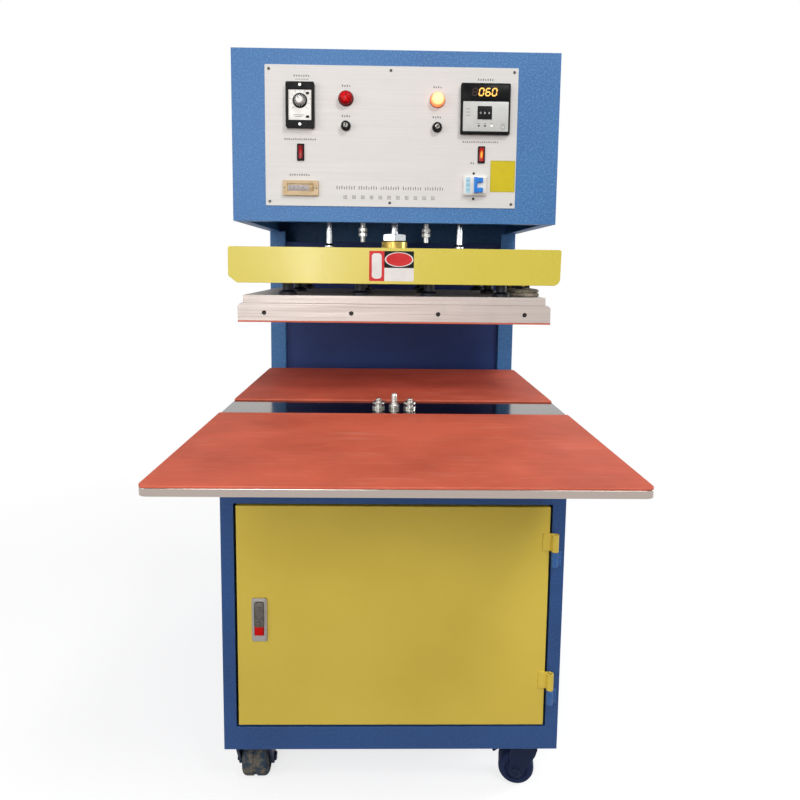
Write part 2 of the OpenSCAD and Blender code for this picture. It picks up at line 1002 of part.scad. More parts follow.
// A tube swept along a level route.
module lead(route, n = 10) {
  last = len(route) - 1;
  points = [for (i = [0:last], p = lead_ring(route, i, n)) p];
  walls = [for (i = [0:last - 1], k = [0:n - 1]) let (a = i * n + k, b = i * n + (k + 1) % n)
    each [[a, b, a + n], [b, b + n, a + n]]];
  polyhedron(points, concat(walls,
    [[for (k = [n - 1:-1:0]) k], [for (k = [0:n - 1]) last * n + k]]));
}

module heater_leads() {
  color("#7a6248")
    for (r = lead_loops, level = [0:lead_layers - 1])
      lead(lead_route(r, level));
}

// Barrier strip on the cover plate that the heater leads end in.
module lead_terminals() {
  bays = 2;
  color("#17181a")
    translate([lead_x - block_w / 2, block_y, post_z]) {
      cube([block_w, block_d, block_t]);
      translate([0, block_d * 0.25, 0])
        cube([block_w, block_d * 0.5, block_t + fin_t]);
      for (k = [0:bays])
        translate([k * (block_w - fin_t) / bays, 0, 0])
          cube([fin_t, block_d, fin_h]);
    }
}

module press_pad() {
  color("#c8634c")
    span([-heater_w / 2, press_y, press_z], [heater_w / 2, press_y + heater_d, heater_z]);
}

base_plate();
cabinet_left_wall();
cabinet_right_wall();
cabinet_back_wall();
cabinet_deck();
cabinet_front_frame();
hinge_pins();
left_side_panel();
right_side_panel();
column_front_panel();
back_panel();
head_front_panel();
head_top_panel();
head_bottom_panel();
control_panel();
timer_frame();
timer_dial();
temperature_controller();
counter();
red_lamp();
amber_lamp();
fuse_caps();
rocker_switches();
breaker();
stop_bolts();
pivot_post();
press_anvil();
caster_plates();
door();
door_latch();
latch_button();
table_plate();
front_pad();
rear_pad();
hub_studs();
crosshead();
guide_rods();
piston_rod();
rod_flange();
guard();
spacer_posts();
cover_plate();
heater_plate();
press_pad();
heater_leads();
lead_terminals();
caster_fork_fl();
caster_fork_fr();
caster_fork_rl();
caster_fork_rr();
caster_wheel_fl();
caster_wheel_fr();
caster_wheel_rl();
caster_wheel_rr();
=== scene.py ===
"""Studio scene of a two-station blister packing machine.

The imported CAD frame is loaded, each of its nodes gets a finish and eased edges, and the
small pieces that the frame leaves out are modelled here: screws, scales, lenses, switch
parts, number drums, labels and trim. Lengths are written in millimetres.
"""
import logging
import math
from collections.abc import Sequence
from dataclasses import dataclass, field
from enum import Enum

import bmesh
import bpy
from mathutils import Matrix, Vector


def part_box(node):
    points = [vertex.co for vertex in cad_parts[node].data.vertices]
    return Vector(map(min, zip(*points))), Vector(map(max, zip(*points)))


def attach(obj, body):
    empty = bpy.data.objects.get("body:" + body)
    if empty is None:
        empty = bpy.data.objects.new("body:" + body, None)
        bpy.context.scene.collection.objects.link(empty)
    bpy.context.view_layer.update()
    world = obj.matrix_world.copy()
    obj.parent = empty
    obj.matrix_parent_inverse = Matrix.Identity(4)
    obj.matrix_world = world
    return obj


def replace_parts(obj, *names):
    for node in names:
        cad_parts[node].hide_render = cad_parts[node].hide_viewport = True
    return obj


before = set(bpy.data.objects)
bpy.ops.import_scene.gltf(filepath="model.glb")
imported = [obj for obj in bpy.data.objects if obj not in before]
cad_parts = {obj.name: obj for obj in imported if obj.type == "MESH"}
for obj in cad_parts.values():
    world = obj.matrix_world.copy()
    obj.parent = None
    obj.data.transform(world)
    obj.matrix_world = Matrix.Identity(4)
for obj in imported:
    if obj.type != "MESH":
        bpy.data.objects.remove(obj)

LOG = logging.getLogger("blister_machine")
MM = 0.001
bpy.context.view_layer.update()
# Edges that bend more than this are real ones: they are eased, and smooth shading stops there.
SHARP = math.radians(34)

Point = Sequence[float]
Socket = bpy.types.NodeSocket
Tree = bpy.types.NodeTree


def linear(code: str) -> tuple[float, float, float, float]:
    """Turn an sRGB hex code into linear colour.

    Args:
        code: Colour such as "#4b7db9".

    Returns:
        Linear red, green and blue, and an alpha of 1.
    """
    parts = [int(code[i:i + 2], 16) / 255 for i in (1, 3, 5)]
    red, green, blue = (c / 12.92 if c <= 0.04045 else ((c + 0.055) / 1.055) ** 2.4 for c in parts)
    return red, green, blue, 1.0


def add_node(
    tree: Tree,
    kind: str,
    values: dict[str | int, object] | None = None,
    links: dict[str | int, Socket] | None = None,
    **settings: object,
) -> bpy.types.Node:
    """Add one node with its settings, socket values and links.

    Args:
        tree: Node tree that takes the node.
        kind: Blender's type name of the node.
        values: Input sockets by name or number, and the values they hold.
        links: Input sockets by name or number, and the sockets that feed them.
        **settings: Attributes of the node itself.

    Returns:
        The new node.
    """
    node = tree.nodes.new(kind)
    for key, value in settings.items():
        setattr(node, key, value)
    for key, value in (values or {}).items():
        node.inputs[key].default_value = value
    for key, socket in (links or {}).items():
        tree.links.new(socket, node.inputs[key])
    return node


@dataclass(frozen=True)
class Finish:
    """A surface as it was made, turned into one material.

    Attributes:
        name: Material and how its surface was made.
        slot: Slot of the part's record that the finish belongs to.
        colour: Main colour as sRGB hex.
        roughness: Typical roughness of the surface.
        metallic: 1 for bare metal, 0 for paint and plastic.
        ior: Refractive index, left at Blender's default for metal.
        gloss: Specular level, under 0.5 where soil or age dulls the skin.
    """

    name: str
    slot: str
    colour: str
    roughness: float
    metallic: float = 0.0
    ior: float = 1.5
    gloss: float = 0.5

    def constants(self) -> dict[str | int, object]:
        """Return the values that the shader holds all over the surface."""
        return {"Base Color": linear(self.colour), "Roughness": self.roughness,
                "Metallic": self.metallic, "IOR": self.ior, "Specular IOR Level": self.gloss}

    def material(self) -> bpy.types.Material:
        """Make the material at its first use.

        Returns:
            The material of this finish.
        """
        known = bpy.data.materials.get(self.name)
        if known:
            return known
        made = bpy.data.materials.new(self.name)
        made.use_nodes = True
        tree = made.node_tree
        tree.nodes.clear()
        coords = add_node(tree, "ShaderNodeTexCoord")
        mm = add_node(tree, "ShaderNodeVectorMath", {1: (1 / MM,) * 3},
                      {0: coords.outputs["Object"]}, operation="MULTIPLY")
        shader = add_node(tree, "ShaderNodeBsdfPrincipled", self.constants(),
                          self.pattern(tree, mm.outputs[0]))
        add_node(tree, "ShaderNodeOutputMaterial", links={"Surface": shader.outputs[0]})
        return made

    def pattern(self, tree: Tree, mm: Socket) -> dict[str | int, Socket]:
        """Add the pattern of the surface.

        Args:
            tree: Node tree of the material.
            mm: Place on the object in millimetres.

        Returns:
            The shader's inputs and what feeds them.
        """
        raise NotImplementedError

    def edges(self, tree: Tree, reach: float) -> Socket:
        """Find the outer edges, where handling rubs a finish through.

        Args:
            tree: Node tree of the material.
            reach: How far in from an edge the rubbing shows, in millimetres.

        Returns:
            A factor of 1 on edges and 0 on faces.
        """
        soft = add_node(tree, "ShaderNodeBevel", {"Radius": reach * MM}, samples=4)
        face = add_node(tree, "ShaderNodeNewGeometry")
        turn = add_node(tree, "ShaderNodeVectorMath",
                        links={0: soft.outputs[0], 1: face.outputs["Normal"]},
                        operation="DOT_PRODUCT")
        return add_node(tree, "ShaderNodeMapRange", {1: 0.985, 2: 0.84, 3: 0.0, 4: 1.0},
                        {0: turn.outputs["Value"]}).outputs[0]

    def layers(self, tree: Tree, *over: tuple[bpy.types.Node, str]) -> Socket:
        """Lay soil, wear and dust over the main colour, one after the other.

        Args:
            tree: Node tree of the material.
            *over: Node that says how far each layer covers, and its colour as sRGB hex.

        Returns:
            The colour that shows.
        """
        below: dict[str | int, Socket] = {}
        for cover, tone in over:
            mix = add_node(tree, "ShaderNodeMix", {6: linear(self.colour), 7: linear(tone)},
                           {0: cover.outputs[0], **below}, data_type="RGBA")
            below = {6: mix.outputs[2]}
        return below[6]


@dataclass(frozen=True)
class PowderCoat(Finish):
    """Polyester powder coat with a fine orange peel, baked on sheet steel.

    Attributes:
        shade: Darker tone of thin and soiled patches.
        worn: Paler tone of rubbed edges and of the peel's crests.
        grain: Width of the peel's bumps in millimetres.
        relief: Height of the bumps in millimetres.
        patch: Width of soiled patches in millimetres.
        speck: How far the crests of the peel pale, from 0 to 1.
        rubbed: How far in from an edge the coat is rubbed, in millimetres.
    """

    shade: str = "#355f96"
    worn: str = "#86a8d2"
    # Finer in life: drawn as coarse as it needs to be to show in the render.
    grain: float = 3.4
    relief: float = 0.16
    patch: float = 150.0
    speck: float = 0.5
    rubbed: float = 1.6

    def pattern(self, tree: Tree, mm: Socket) -> dict[str | int, Socket]:
        """Give the eye a soft sheen, broken by the peel, and paler rubbed edges.

        Args:
            tree: Node tree of the material.
            mm: Place on the object in millimetres.

        Returns:
            The shader's inputs and what feeds them.
        """
        peel = add_node(tree, "ShaderNodeTexNoise",
                        {"Scale": 1 / self.grain, "Detail": 2.0, "Roughness": 0.55}, {"Vector": mm})
        soil = add_node(tree, "ShaderNodeTexNoise",
                        {"Scale": 1 / self.patch, "Detail": 6.0, "Roughness": 0.6}, {"Vector": mm})
        tone = add_node(tree, "ShaderNodeMapRange", {1: 0.42, 2: 0.74, 3: 0.0, 4: 0.5},
                        {0: soil.outputs[0]})
        crest = add_node(tree, "ShaderNodeMapRange", {1: 0.46, 2: 0.7, 3: 0.0, 4: self.speck},
                         {0: peel.outputs[0]})
        rub = add_node(tree, "ShaderNodeMath",
                       links={0: self.edges(tree, self.rubbed), 1: soil.outputs[0]}, operation="MULTIPLY")
        rough = add_node(tree, "ShaderNodeMapRange",
                         {1: 0.3, 2: 0.7, 3: self.roughness - 0.06, 4: self.roughness + 0.1},
                         {0: peel.outputs[0]})
        bump = add_node(tree, "ShaderNodeBump", {"Strength": 0.5, "Distance": self.relief * MM},
                        {"Height": peel.outputs[0]})
        colour = self.layers(tree, (tone, self.shade), (crest, self.worn), (rub, self.worn))
        return {"Base Color": colour, "Roughness": rough.outputs[0], "Normal": bump.outputs[0]}


@dataclass(frozen=True)
class SprayEnamel(Finish):
    """Gloss alkyd enamel sprayed on sheet steel.

    Attributes:
        shade: Tone of hand marks and of dust that settled in the coat.
        worn: Tone of chipped edges, where the primer shows.
        peel: Width of the spray's ripple in millimetres.
        hand: Width of hand marks in millimetres.
        scuff: Size of fine scuffs in millimetres, along each axis.
        chip: Width of chips along an edge in millimetres.
        rubbed: How far in from an edge the chips reach, in millimetres.
        relief: Height of the ripple in millimetres.
    """

    shade: str = "#a8923a"
    worn: str = "#8a7a45"
    peel: float = 7.0
    hand: float = 240.0
    scuff: tuple[float, float, float] = (60.0, 3.0, 1.4)
    chip: float = 6.0
    rubbed: float = 1.3
    relief: float = 0.12

    def pattern(self, tree: Tree, mm: Socket) -> dict[str | int, Socket]:
        """Give the eye a wet shine with a slight ripple, hand marks, scuffs and chips.

        Args:
            tree: Node tree of the material.
            mm: Place on the object in millimetres.

        Returns:
            The shader's inputs and what feeds them.
        """
        ripple = add_node(tree, "ShaderNodeTexNoise",
                          {"Scale": 1 / self.peel, "Detail": 1.0}, {"Vector": mm})
        marks = add_node(tree, "ShaderNodeTexNoise",
                         {"Scale": 1 / self.hand, "Detail": 5.0, "Roughness": 0.5}, {"Vector": mm})
        along = add_node(tree, "ShaderNodeMapping",
                         {"Rotation": (0.0, 0.5, 0.0), "Scale": [1 / size for size in self.scuff]},
                         {"Vector": mm})
        lines = add_node(tree, "ShaderNodeTexNoise", {"Scale": 1.0, "Detail": 3.0},
                         {"Vector": along.outputs[0]})
        tone = add_node(tree, "ShaderNodeMapRange", {1: 0.40, 2: 0.70, 3: 0.0, 4: 0.3},
                        {0: marks.outputs[0]})
        thin = add_node(tree, "ShaderNodeMapRange", {1: 0.68, 2: 0.76, 3: 0.0, 4: 0.25},
                        {0: lines.outputs[0]})
        chips = add_node(tree, "ShaderNodeTexNoise", {"Scale": 1 / self.chip, "Detail": 3.0},
                         {"Vector": mm})
        hard = add_node(tree, "ShaderNodeMapRange", {1: 0.5, 2: 0.58, 3: 0.0, 4: 1.0},
                        {0: chips.outputs[0]})
        rub = add_node(tree, "ShaderNodeMath",
                       links={0: self.edges(tree, self.rubbed), 1: hard.outputs[0]}, operation="MULTIPLY")
        rough = add_node(tree, "ShaderNodeMapRange",
                         {1: 0.35, 2: 0.7, 3: self.roughness, 4: self.roughness + 0.2},
                         {0: marks.outputs[0]})
        bump = add_node(tree, "ShaderNodeBump", {"Strength": 0.22, "Distance": self.relief * MM},
                        {"Height": ripple.outputs[0]})
        colour = self.layers(tree, (tone, self.shade), (thin, self.shade), (rub, self.worn))
        return {"Base Color": colour, "Roughness": rough.outputs[0], "Normal": bump.outputs[0]}


@dataclass(frozen=True)
class LinedSheet(Finish):
    """Metal worked in one direction: brushed, milled or ground.

    Attributes:
        shade: Tone in the valleys of the lines.
        pitch: Spacing of the lines in millimetres.
        length: Length of one line in millimetres.
        relief: Depth of the lines in millimetres.
        soil: Tone of finger marks and oil.
        smear: Width of finger marks and oil in millimetres.
        across: True where the lines run along Y instead of X.
        sawn: Tone of upright faces left as they were sawn, or empty where there are none.
    """

    shade: str = "#b8b4ae"
    # Finer in life: drawn as coarse as it needs to be to show in the render.
    pitch: float = 1.6
    length: float = 220.0
    relief: float = 0.02
    soil: str = "#9c968e"
    smear: float = 70.0
    across: bool = False
    sawn: str = ""

    def pattern(self, tree: Tree, mm: Socket) -> dict[str | int, Socket]:
        """Give the eye fine parallel lines that stretch each highlight.

        Args:
            tree: Node tree of the material.
            mm: Place on the object in millimetres.

        Returns:
            The shader's inputs and what feeds them.
        """
        run, side = 1 / self.length, 1 / self.pitch
        scale = (side, run, side) if self.across else (run, side, side)
        along = add_node(tree, "ShaderNodeMapping", {"Scale": scale}, {"Vector": mm})
        lines = add_node(tree, "ShaderNodeTexNoise",
                         {"Scale": 1.0, "Detail": 3.0, "Roughness": 0.6},
                         {"Vector": along.outputs[0]})
        marks = add_node(tree, "ShaderNodeTexNoise",
                         {"Scale": 1 / self.smear, "Detail": 6.0, "Roughness": 0.6, "Distortion": 0.4},
                         {"Vector": mm})
        tone = add_node(tree, "ShaderNodeMapRange", {1: 0.4, 2: 0.68, 3: 0.0, 4: 0.6},
                        {0: lines.outputs[0]})
        oil = add_node(tree, "ShaderNodeMapRange", {1: 0.52, 2: 0.75, 3: 0.0, 4: 0.35},
                       {0: marks.outputs[0]})
        over = [(tone, self.shade), (oil, self.soil)]
        if self.sawn:
            face = add_node(tree, "ShaderNodeNewGeometry")
            parts = add_node(tree, "ShaderNodeSeparateXYZ", links={0: face.outputs["Normal"]})
            upright = add_node(tree, "ShaderNodeMapRange", {1: 0.9, 2: 0.5, 3: 0.0, 4: 1.0},
                               {0: parts.outputs["Z"]})
            over.append((upright, self.sawn))
        rough = add_node(tree, "ShaderNodeMapRange",
                         {1: 0.3, 2: 0.7, 3: self.roughness * 0.75, 4: self.roughness * 1.3},
                         {0: lines.outputs[0]})
        bump = add_node(tree, "ShaderNodeBump", {"Strength": 0.4, "Distance": self.relief * MM},
                        {"Height": lines.outputs[0]})
        return {"Base Color": self.layers(tree, *over), "Roughness": rough.outputs[0],
                "Normal": bump.outputs[0]}


@dataclass(frozen=True)
class PlatedSteel(Finish):
    """Turned steel with a thin plating.

    Attributes:
        shade: Tone of dull and oxidised spots.
        grain: Width of the spots in millimetres.
        fine: Width of the turning marks in millimetres.
        relief: Depth of the turning marks in millimetres.
    """

    shade: str = "#8f8c86"
    grain: float = 9.0
    # Finer in life: drawn as coarse as it needs to be to show in the render.
    fine: float = 0.8
    relief: float = 0.02

    def pattern(self, tree: Tree, mm: Socket) -> dict[str | int, Socket]:
        """Give the eye clear reflections that dull in spots.

        Args:
            tree: Node tree of the material.
            mm: Place on the object in millimetres.

        Returns:
            The shader's inputs and what feeds them.
        """
        spots = add_node(tree, "ShaderNodeTexNoise",
                         {"Scale": 1 / self.grain, "Detail": 5.0, "Roughness": 0.6}, {"Vector": mm})
        fine = add_node(tree, "ShaderNodeTexNoise", {"Scale": 1 / self.fine, "Detail": 2.0},
                        {"Vector": mm})
        tone = add_node(tree, "ShaderNodeMapRange", {1: 0.45, 2: 0.75, 3: 0.0, 4: 0.7},
                        {0: spots.outputs[0]})
        rough = add_node(tree, "ShaderNodeMapRange",
                         {1: 0.35, 2: 0.7, 3: self.roughness * 0.8, 4: self.roughness * 1.7},
                         {0: spots.outputs[0]})
        bump = add_node(tree, "ShaderNodeBump", {"Strength": 0.15, "Distance": self.relief * MM},
                        {"Height": fine.outputs[0]})
        return {"Base Color": self.layers(tree, (tone, self.shade)), "Roughness": rough.outputs[0],
                "Normal": bump.outputs[0]}


@dataclass(frozen=True)
class MouldedPlastic(Finish):
    """Injection-moulded plastic from a spark-eroded tool.

    Attributes:
        shade: Tone of grime in the texture.
        worn: Tone of edges polished by handling.
        grain: Width of the tool's texture in millimetres.
        relief: Height of the texture in millimetres.
        grime: Width of grimy patches in millimetres.
        rubbed: How far in from an edge handling polishes, in millimetres.
    """

    shade: str = "#000000"
    worn: str = "#808080"
    # Finer in life: drawn as coarse as it needs to be to show in the render.
    grain: float = 0.7
    relief: float = 0.03
    grime: float = 14.0
    rubbed: float = 0.5

    def pattern(self, tree: Tree, mm: Socket) -> dict[str | int, Socket]:
        """Give the eye a matt grain with grime in it and brighter edges.

        Args:
            tree: Node tree of the material.
            mm: Place on the object in millimetres.

        Returns:
            The shader's inputs and what feeds them.
        """
        grain = add_node(tree, "ShaderNodeTexNoise", {"Scale": 1 / self.grain, "Detail": 2.0},
                         {"Vector": mm})
        grime = add_node(tree, "ShaderNodeTexNoise", {"Scale": 1 / self.grime, "Detail": 5.0},
                         {"Vector": mm})
        tone = add_node(tree, "ShaderNodeMapRange", {1: 0.42, 2: 0.75, 3: 0.0, 4: 0.4},
                        {0: grime.outputs[0]})
        rub = add_node(tree, "ShaderNodeMath", {1: 0.35}, {0: self.edges(tree, self.rubbed)},
                       operation="MULTIPLY")
        rough = add_node(tree, "ShaderNodeMapRange",
                         {1: 0.35, 2: 0.65, 3: self.roughness - 0.06, 4: self.roughness + 0.1},
                         {0: grime.outputs[0]})
        bump = add_node(tree, "ShaderNodeBump", {"Strength": 0.35, "Distance": self.relief * MM},
                        {"Height": grain.outputs[0]})
        colour = self.layers(tree, (tone, self.shade), (rub, self.worn))
        return {"Base Color": colour, "Roughness": rough.outputs[0], "Normal": bump.outputs[0]}


@dataclass(frozen=True)
class SiliconeSheet(Finish):
    """Calendered silicone rubber sheet.

    Attributes:
        shade: Darker tone where boards have pressed.
        dust: Pale tone of blister dust and scuffs.
        worn: Paler tone painted along the edges as a painted highlight, where they catch light.
        pressed: Width of the pressed patches in millimetres.
        sweep: Length and width of a swept streak of dust in millimetres.
        weave: Width of the cloth print in millimetres.
        relief: Height of the cloth print in millimetres.
        rubbed: How far in from an edge the painted highlight reaches, in millimetres.
    """

    shade: str = "#b14f3a"
    dust: str = "#dba390"
    worn: str = "#efc9b8"
    pressed: float = 130.0
    sweep: tuple[float, float] = (110.0, 12.0)
    # Finer in life: drawn as coarse as it needs to be to show in the render.
    weave: float = 1.1
    relief: float = 0.06
    rubbed: float = 1.4

    def pattern(self, tree: Tree, mm: Socket) -> dict[str | int, Socket]:
        """Give the eye a dull red skin with pale dust swept over it and a painted highlight along its
        edges.

        Args:
            tree: Node tree of the material.
            mm: Place on the object in millimetres.

        Returns:
            The shader's inputs and what feeds them.
        """
        press = add_node(tree, "ShaderNodeTexNoise",
                         {"Scale": 1 / self.pressed, "Detail": 5.0, "Roughness": 0.55}, {"Vector": mm})
        run, side = (1 / length for length in self.sweep)
        sweep = add_node(tree, "ShaderNodeMapping",
                         {"Rotation": (0.0, 0.0, 0.2), "Scale": (run, side, side)}, {"Vector": mm})
        dust = add_node(tree, "ShaderNodeTexNoise",
                        {"Scale": 1.0, "Detail": 7.0, "Roughness": 0.68, "Distortion": 0.5},
                        {"Vector": sweep.outputs[0]})
        cloth = add_node(tree, "ShaderNodeTexNoise", {"Scale": 1 / self.weave, "Detail": 2.0},
                         {"Vector": mm})
        tone = add_node(tree, "ShaderNodeMapRange", {1: 0.38, 2: 0.68, 3: 0.0, 4: 0.7},
                        {0: press.outputs[0]})
        pale = add_node(tree, "ShaderNodeMapRange", {1: 0.52, 2: 0.80, 3: 0.0, 4: 0.4},
                        {0: dust.outputs[0]})
        # Painted highlight: the edges turn pale where they catch light, patchy with the dust.
        rub = add_node(tree, "ShaderNodeMath",
                       links={0: self.edges(tree, self.rubbed), 1: dust.outputs[0]}, operation="MULTIPLY")
        rough = add_node(tree, "ShaderNodeMapRange",
                         {1: 0.4, 2: 0.75, 3: self.roughness, 4: self.roughness + 0.2},
                         {0: dust.outputs[0]})
        bump = add_node(tree, "ShaderNodeBump", {"Strength": 0.3, "Distance": self.relief * MM},
                        {"Height": cloth.outputs[0]})
        colour = self.layers(tree, (tone, self.shade), (pale, self.dust), (rub, self.worn))
        return {"Base Color": colour, "Roughness": rough.outputs[0], "Normal": bump.outputs[0]}


@dataclass(frozen=True)
class Lens(Finish):
    """Moulded acrylic lens, with or without a lamp behind it.

    Attributes:
        core: Colour at the middle, in front of the lamp: its light where it glows, and painted light
            where it is off.
        glow: Strength of the lamp behind the lens, 0 when it is off.
        reach: How far from the middle the core ends, as a share of the width.
        full: How far from the middle the core is at its full colour.
        facet: Width of the prisms moulded inside the lens in millimetres.
        depth: How far the prisms darken the core, from 0 to 1.
        wave: Width of the moulding's ripple in millimetres.
        relief: Height of the ripple in millimetres.
        coat: Weight of the clear skin over the prisms.
    """

    core: str = "#ff5a50"
    glow: float = 0.0
    reach: float = 0.42
    full: float = 0.1
    facet: float = 3.6
    depth: float = 0.3
    wave: float = 2.5
    relief: float = 0.1
    coat: float = 0.08

    def constants(self) -> dict[str | int, object]:
        """Return the shader's values with the clear skin and the lamp's strength."""
        return {**super().constants(), "Coat Weight": self.coat, "Emission Strength": self.glow}

    def pattern(self, tree: Tree, mm: Socket) -> dict[str | int, Socket]:
        """Give the eye a clear gloss over moulded prisms, paler in the middle and deeper in colour
        towards the rim; on an unlit lens the paler middle is painted light.

        Args:
            tree: Node tree of the material.
            mm: Place on the object in millimetres.

        Returns:
            The shader's inputs and what feeds them.
        """
        coords = add_node(tree, "ShaderNodeTexCoord")
        flat = add_node(tree, "ShaderNodeVectorMath", {1: (1.0, 0.0, 1.0)},
                        {0: coords.outputs["Generated"]}, operation="MULTIPLY")
        away = add_node(tree, "ShaderNodeVectorMath", {1: (0.5, 0.0, 0.5)},
                        {0: flat.outputs[0]}, operation="DISTANCE")
        ripple = add_node(tree, "ShaderNodeTexNoise", {"Scale": 1 / self.wave, "Detail": 2.0},
                          {"Vector": mm})
        cells = add_node(tree, "ShaderNodeTexVoronoi", {"Scale": 1 / self.facet}, {"Vector": mm})
        # Paler middle: the lamp's own colour on a lit lens, painted light on one that is off.
        near = add_node(tree, "ShaderNodeMapRange", {1: self.reach, 2: self.full, 3: 0.0, 4: 1.0},
                        {0: away.outputs["Value"]})
        patchy = add_node(tree, "ShaderNodeMapRange", {1: 0.15, 2: 0.7, 3: 1.0, 4: 1.0 - self.depth},
                          {0: cells.outputs["Distance"]})
        lit = add_node(tree, "ShaderNodeMath", links={0: near.outputs[0], 1: patchy.outputs[0]},
                       operation="MULTIPLY")
        bump = add_node(tree, "ShaderNodeBump", {"Strength": 0.2, "Distance": self.relief * MM},
                        {"Height": ripple.outputs[0]})
        colour = self.layers(tree, (lit, self.core))
        fed = {"Base Color": colour, "Normal": bump.outputs[0]}
        if self.glow:
            fed["Emission Color"] = colour
        return fed


@dataclass(frozen=True)
class WornRubber(Finish):
    """Cast rubber tread that has rolled through workshop dust.

    Attributes:
        dust: Tone of the dust.
        cover: How far the dust covers the tread, from 0 to 1.
        patch: Width of the patches of dust in millimetres.
        grit: Width of the grit in millimetres.
        relief: Height of the grit in millimetres.
    """

    dust: str = "#8f7258"
    cover: float = 0.8
    patch: float = 16.0
    # Finer in life: drawn as coarse as it needs to be to show in the render.
    grit: float = 1.2
    relief: float = 0.15

    def pattern(self, tree: Tree, mm: Socket) -> dict[str | int, Socket]:
        """Give the eye a dull dark tread under patchy brown dust.

        Args:
            tree: Node tree of the material.
            mm: Place on the object in millimetres.

        Returns:
            The shader's inputs and what feeds them.
        """
        dirt = add_node(tree, "ShaderNodeTexNoise",
                        {"Scale": 1 / self.patch, "Detail": 7.0, "Roughness": 0.7}, {"Vector": mm})
        grit = add_node(tree, "ShaderNodeTexNoise", {"Scale": 1 / self.grit, "Detail": 3.0},
                        {"Vector": mm})
        pale = add_node(tree, "ShaderNodeMapRange", {1: 0.42, 2: 0.68, 3: 0.0, 4: self.cover},
                        {0: dirt.outputs[0]})
        rough = add_node(tree, "ShaderNodeMapRange",
                         {1: 0.3, 2: 0.7, 3: self.roughness, 4: 1.0}, {0: dirt.outputs[0]})
        bump = add_node(tree, "ShaderNodeBump", {"Strength": 0.5, "Distance": self.relief * MM},
                        {"Height": grit.outputs[0]})
        return {"Base Color": self.layers(tree, (pale, self.dust)), "Roughness": rough.outputs[0],
                "Normal": bump.outputs[0]}


@dataclass(frozen=True)
class BraidedSleeve(Finish):
    """Braided glass-fibre sleeve over a heater lead.

    Attributes:
        tracer: Tone of the dark strands in the braid.
        strand: Width of a strand in millimetres.
        patch: Length of soiled stretches in millimetres.
        relief: Height of the strands in millimetres.
    """

    tracer: str = "#40372f"
    # Finer in life: drawn as coarse as it needs to be to show in the render.
    strand: float = 2.2
    patch: float = 24.0
    relief: float = 0.3

    def pattern(self, tree: Tree, mm: Socket) -> dict[str | int, Socket]:
        """Give the eye a dull woven skin with dark strands and soiled stretches.

        Args:
            tree: Node tree of the material.
            mm: Place on the object in millimetres.

        Returns:
            The shader's inputs and what feeds them.
        """
        braid = add_node(tree, "ShaderNodeTexWave",
                         {"Scale": 0.45 / self.strand, "Distortion": 2.0, "Detail": 2.0},
                         {"Vector": mm}, wave_type="BANDS", bands_direction="DIAGONAL")
        soil = add_node(tree, "ShaderNodeTexNoise",
                        {"Scale": 1 / self.patch, "Detail": 5.0, "Roughness": 0.6}, {"Vector": mm})
        dark = add_node(tree, "ShaderNodeMapRange", {1: 0.55, 2: 0.85, 3: 0.0, 4: 0.8},
                        {0: braid.outputs["Fac"]})
        dull = add_node(tree, "ShaderNodeMapRange", {1: 0.42, 2: 0.66, 3: 0.0, 4: 0.75},
                        {0: soil.outputs[0]})
        bump = add_node(tree, "ShaderNodeBump", {"Strength": 0.6, "Distance": self.relief * MM},
                        {"Height": braid.outputs["Fac"]})
        colour = self.layers(tree, (dark, self.tracer), (dull, self.tracer))
        return {"Base Color": colour, "Normal": bump.outputs[0]}


# Head, column sides and back: mid-blue powder coat, rough enough to look soft.
HEAD_BLUE = PowderCoat("powder_coat_orange_peel_mid_blue", "blue_paint", "#3770a9", 0.48, gloss=0.4,
                       worn="#80a9d6", speck=0.4)
# Cabinet: the same coat, its blue painted deeper as painted shade of the table's overhang and the dimmer
# light low down.
CABINET_SHADED_BLUE = PowderCoat("powder_coat_orange_peel_blue_painted_shade", "cabinet_blue", "#264b84", 0.46,
                          gloss=0.35, shade="#1c3968", worn="#4e7399", speck=0.25)
# Hinge sockets: the cabinet's coat painted a lighter blue than the frame, as painted light where the
# round sockets stand out into the light.
HINGE_BLUE = PowderCoat("powder_coat_orange_peel_blue_painted_light", "cabinet_blue", "#2a5d9c", 0.42,
                        gloss=0.4, shade="#214c82", worn="#6d95c0", speck=0.25)
# Recessed front of the column: a finer navy coat, so that it looks smoother and darker.
NAVY = PowderCoat("powder_coat_fine_navy", "navy_paint", "#243a76", 0.46, gloss=0.3,
                  shade="#1a2a58", worn="#4a5c8c", grain=1.8, relief=0.08, speck=0.15)
# Door: mustard enamel with a soft shine, blurred by hand marks.
DOOR_YELLOW = SprayEnamel("sprayed_enamel_mustard", "door_yellow", "#e0c348", 0.32, shade="#c2a43a")
# Guard: the same enamel, cleaner and brighter.
GUARD_YELLOW = SprayEnamel("sprayed_enamel_yellow", "guard_yellow", "#d7ca4a", 0.2,
                           shade="#cdbb45", worn="#8a7a45")
# Control plate: satin-anodised aluminium with a pale lacquer and faint brushing.
PANEL_WHITE = LinedSheet("anodised_aluminium_brushed_lacquered", "control_plate", "#e2dfdb", 0.5,
                         gloss=0.35, shade="#dbd8d4", pitch=2.2, relief=0.003, soil="#d8d4cf")
# Heating plate and cover: fly-cut aluminium with lines from the cutter.
MILLED_ALUMINIUM = LinedSheet("aluminium_plate_milled", "plate_aluminium", "#b8afa9", 0.5,
                              metallic=0.75, shade="#a69c96")
# Turntable plate: polished, with oil marks; its colour is painted dark as painted shade, standing for a
# dim room in its reflection, so that it mirrors the column darkly; its sawn edges are paler.
MIRROR_ALUMINIUM = LinedSheet("aluminium_plate_polished", "polished_plate", "#655f59", 0.11,
                              metallic=1.0, shade="#57514c", pitch=1.2, relief=0.004,
                              soil="#4a443e", across=True, sawn="#b6aaa2")
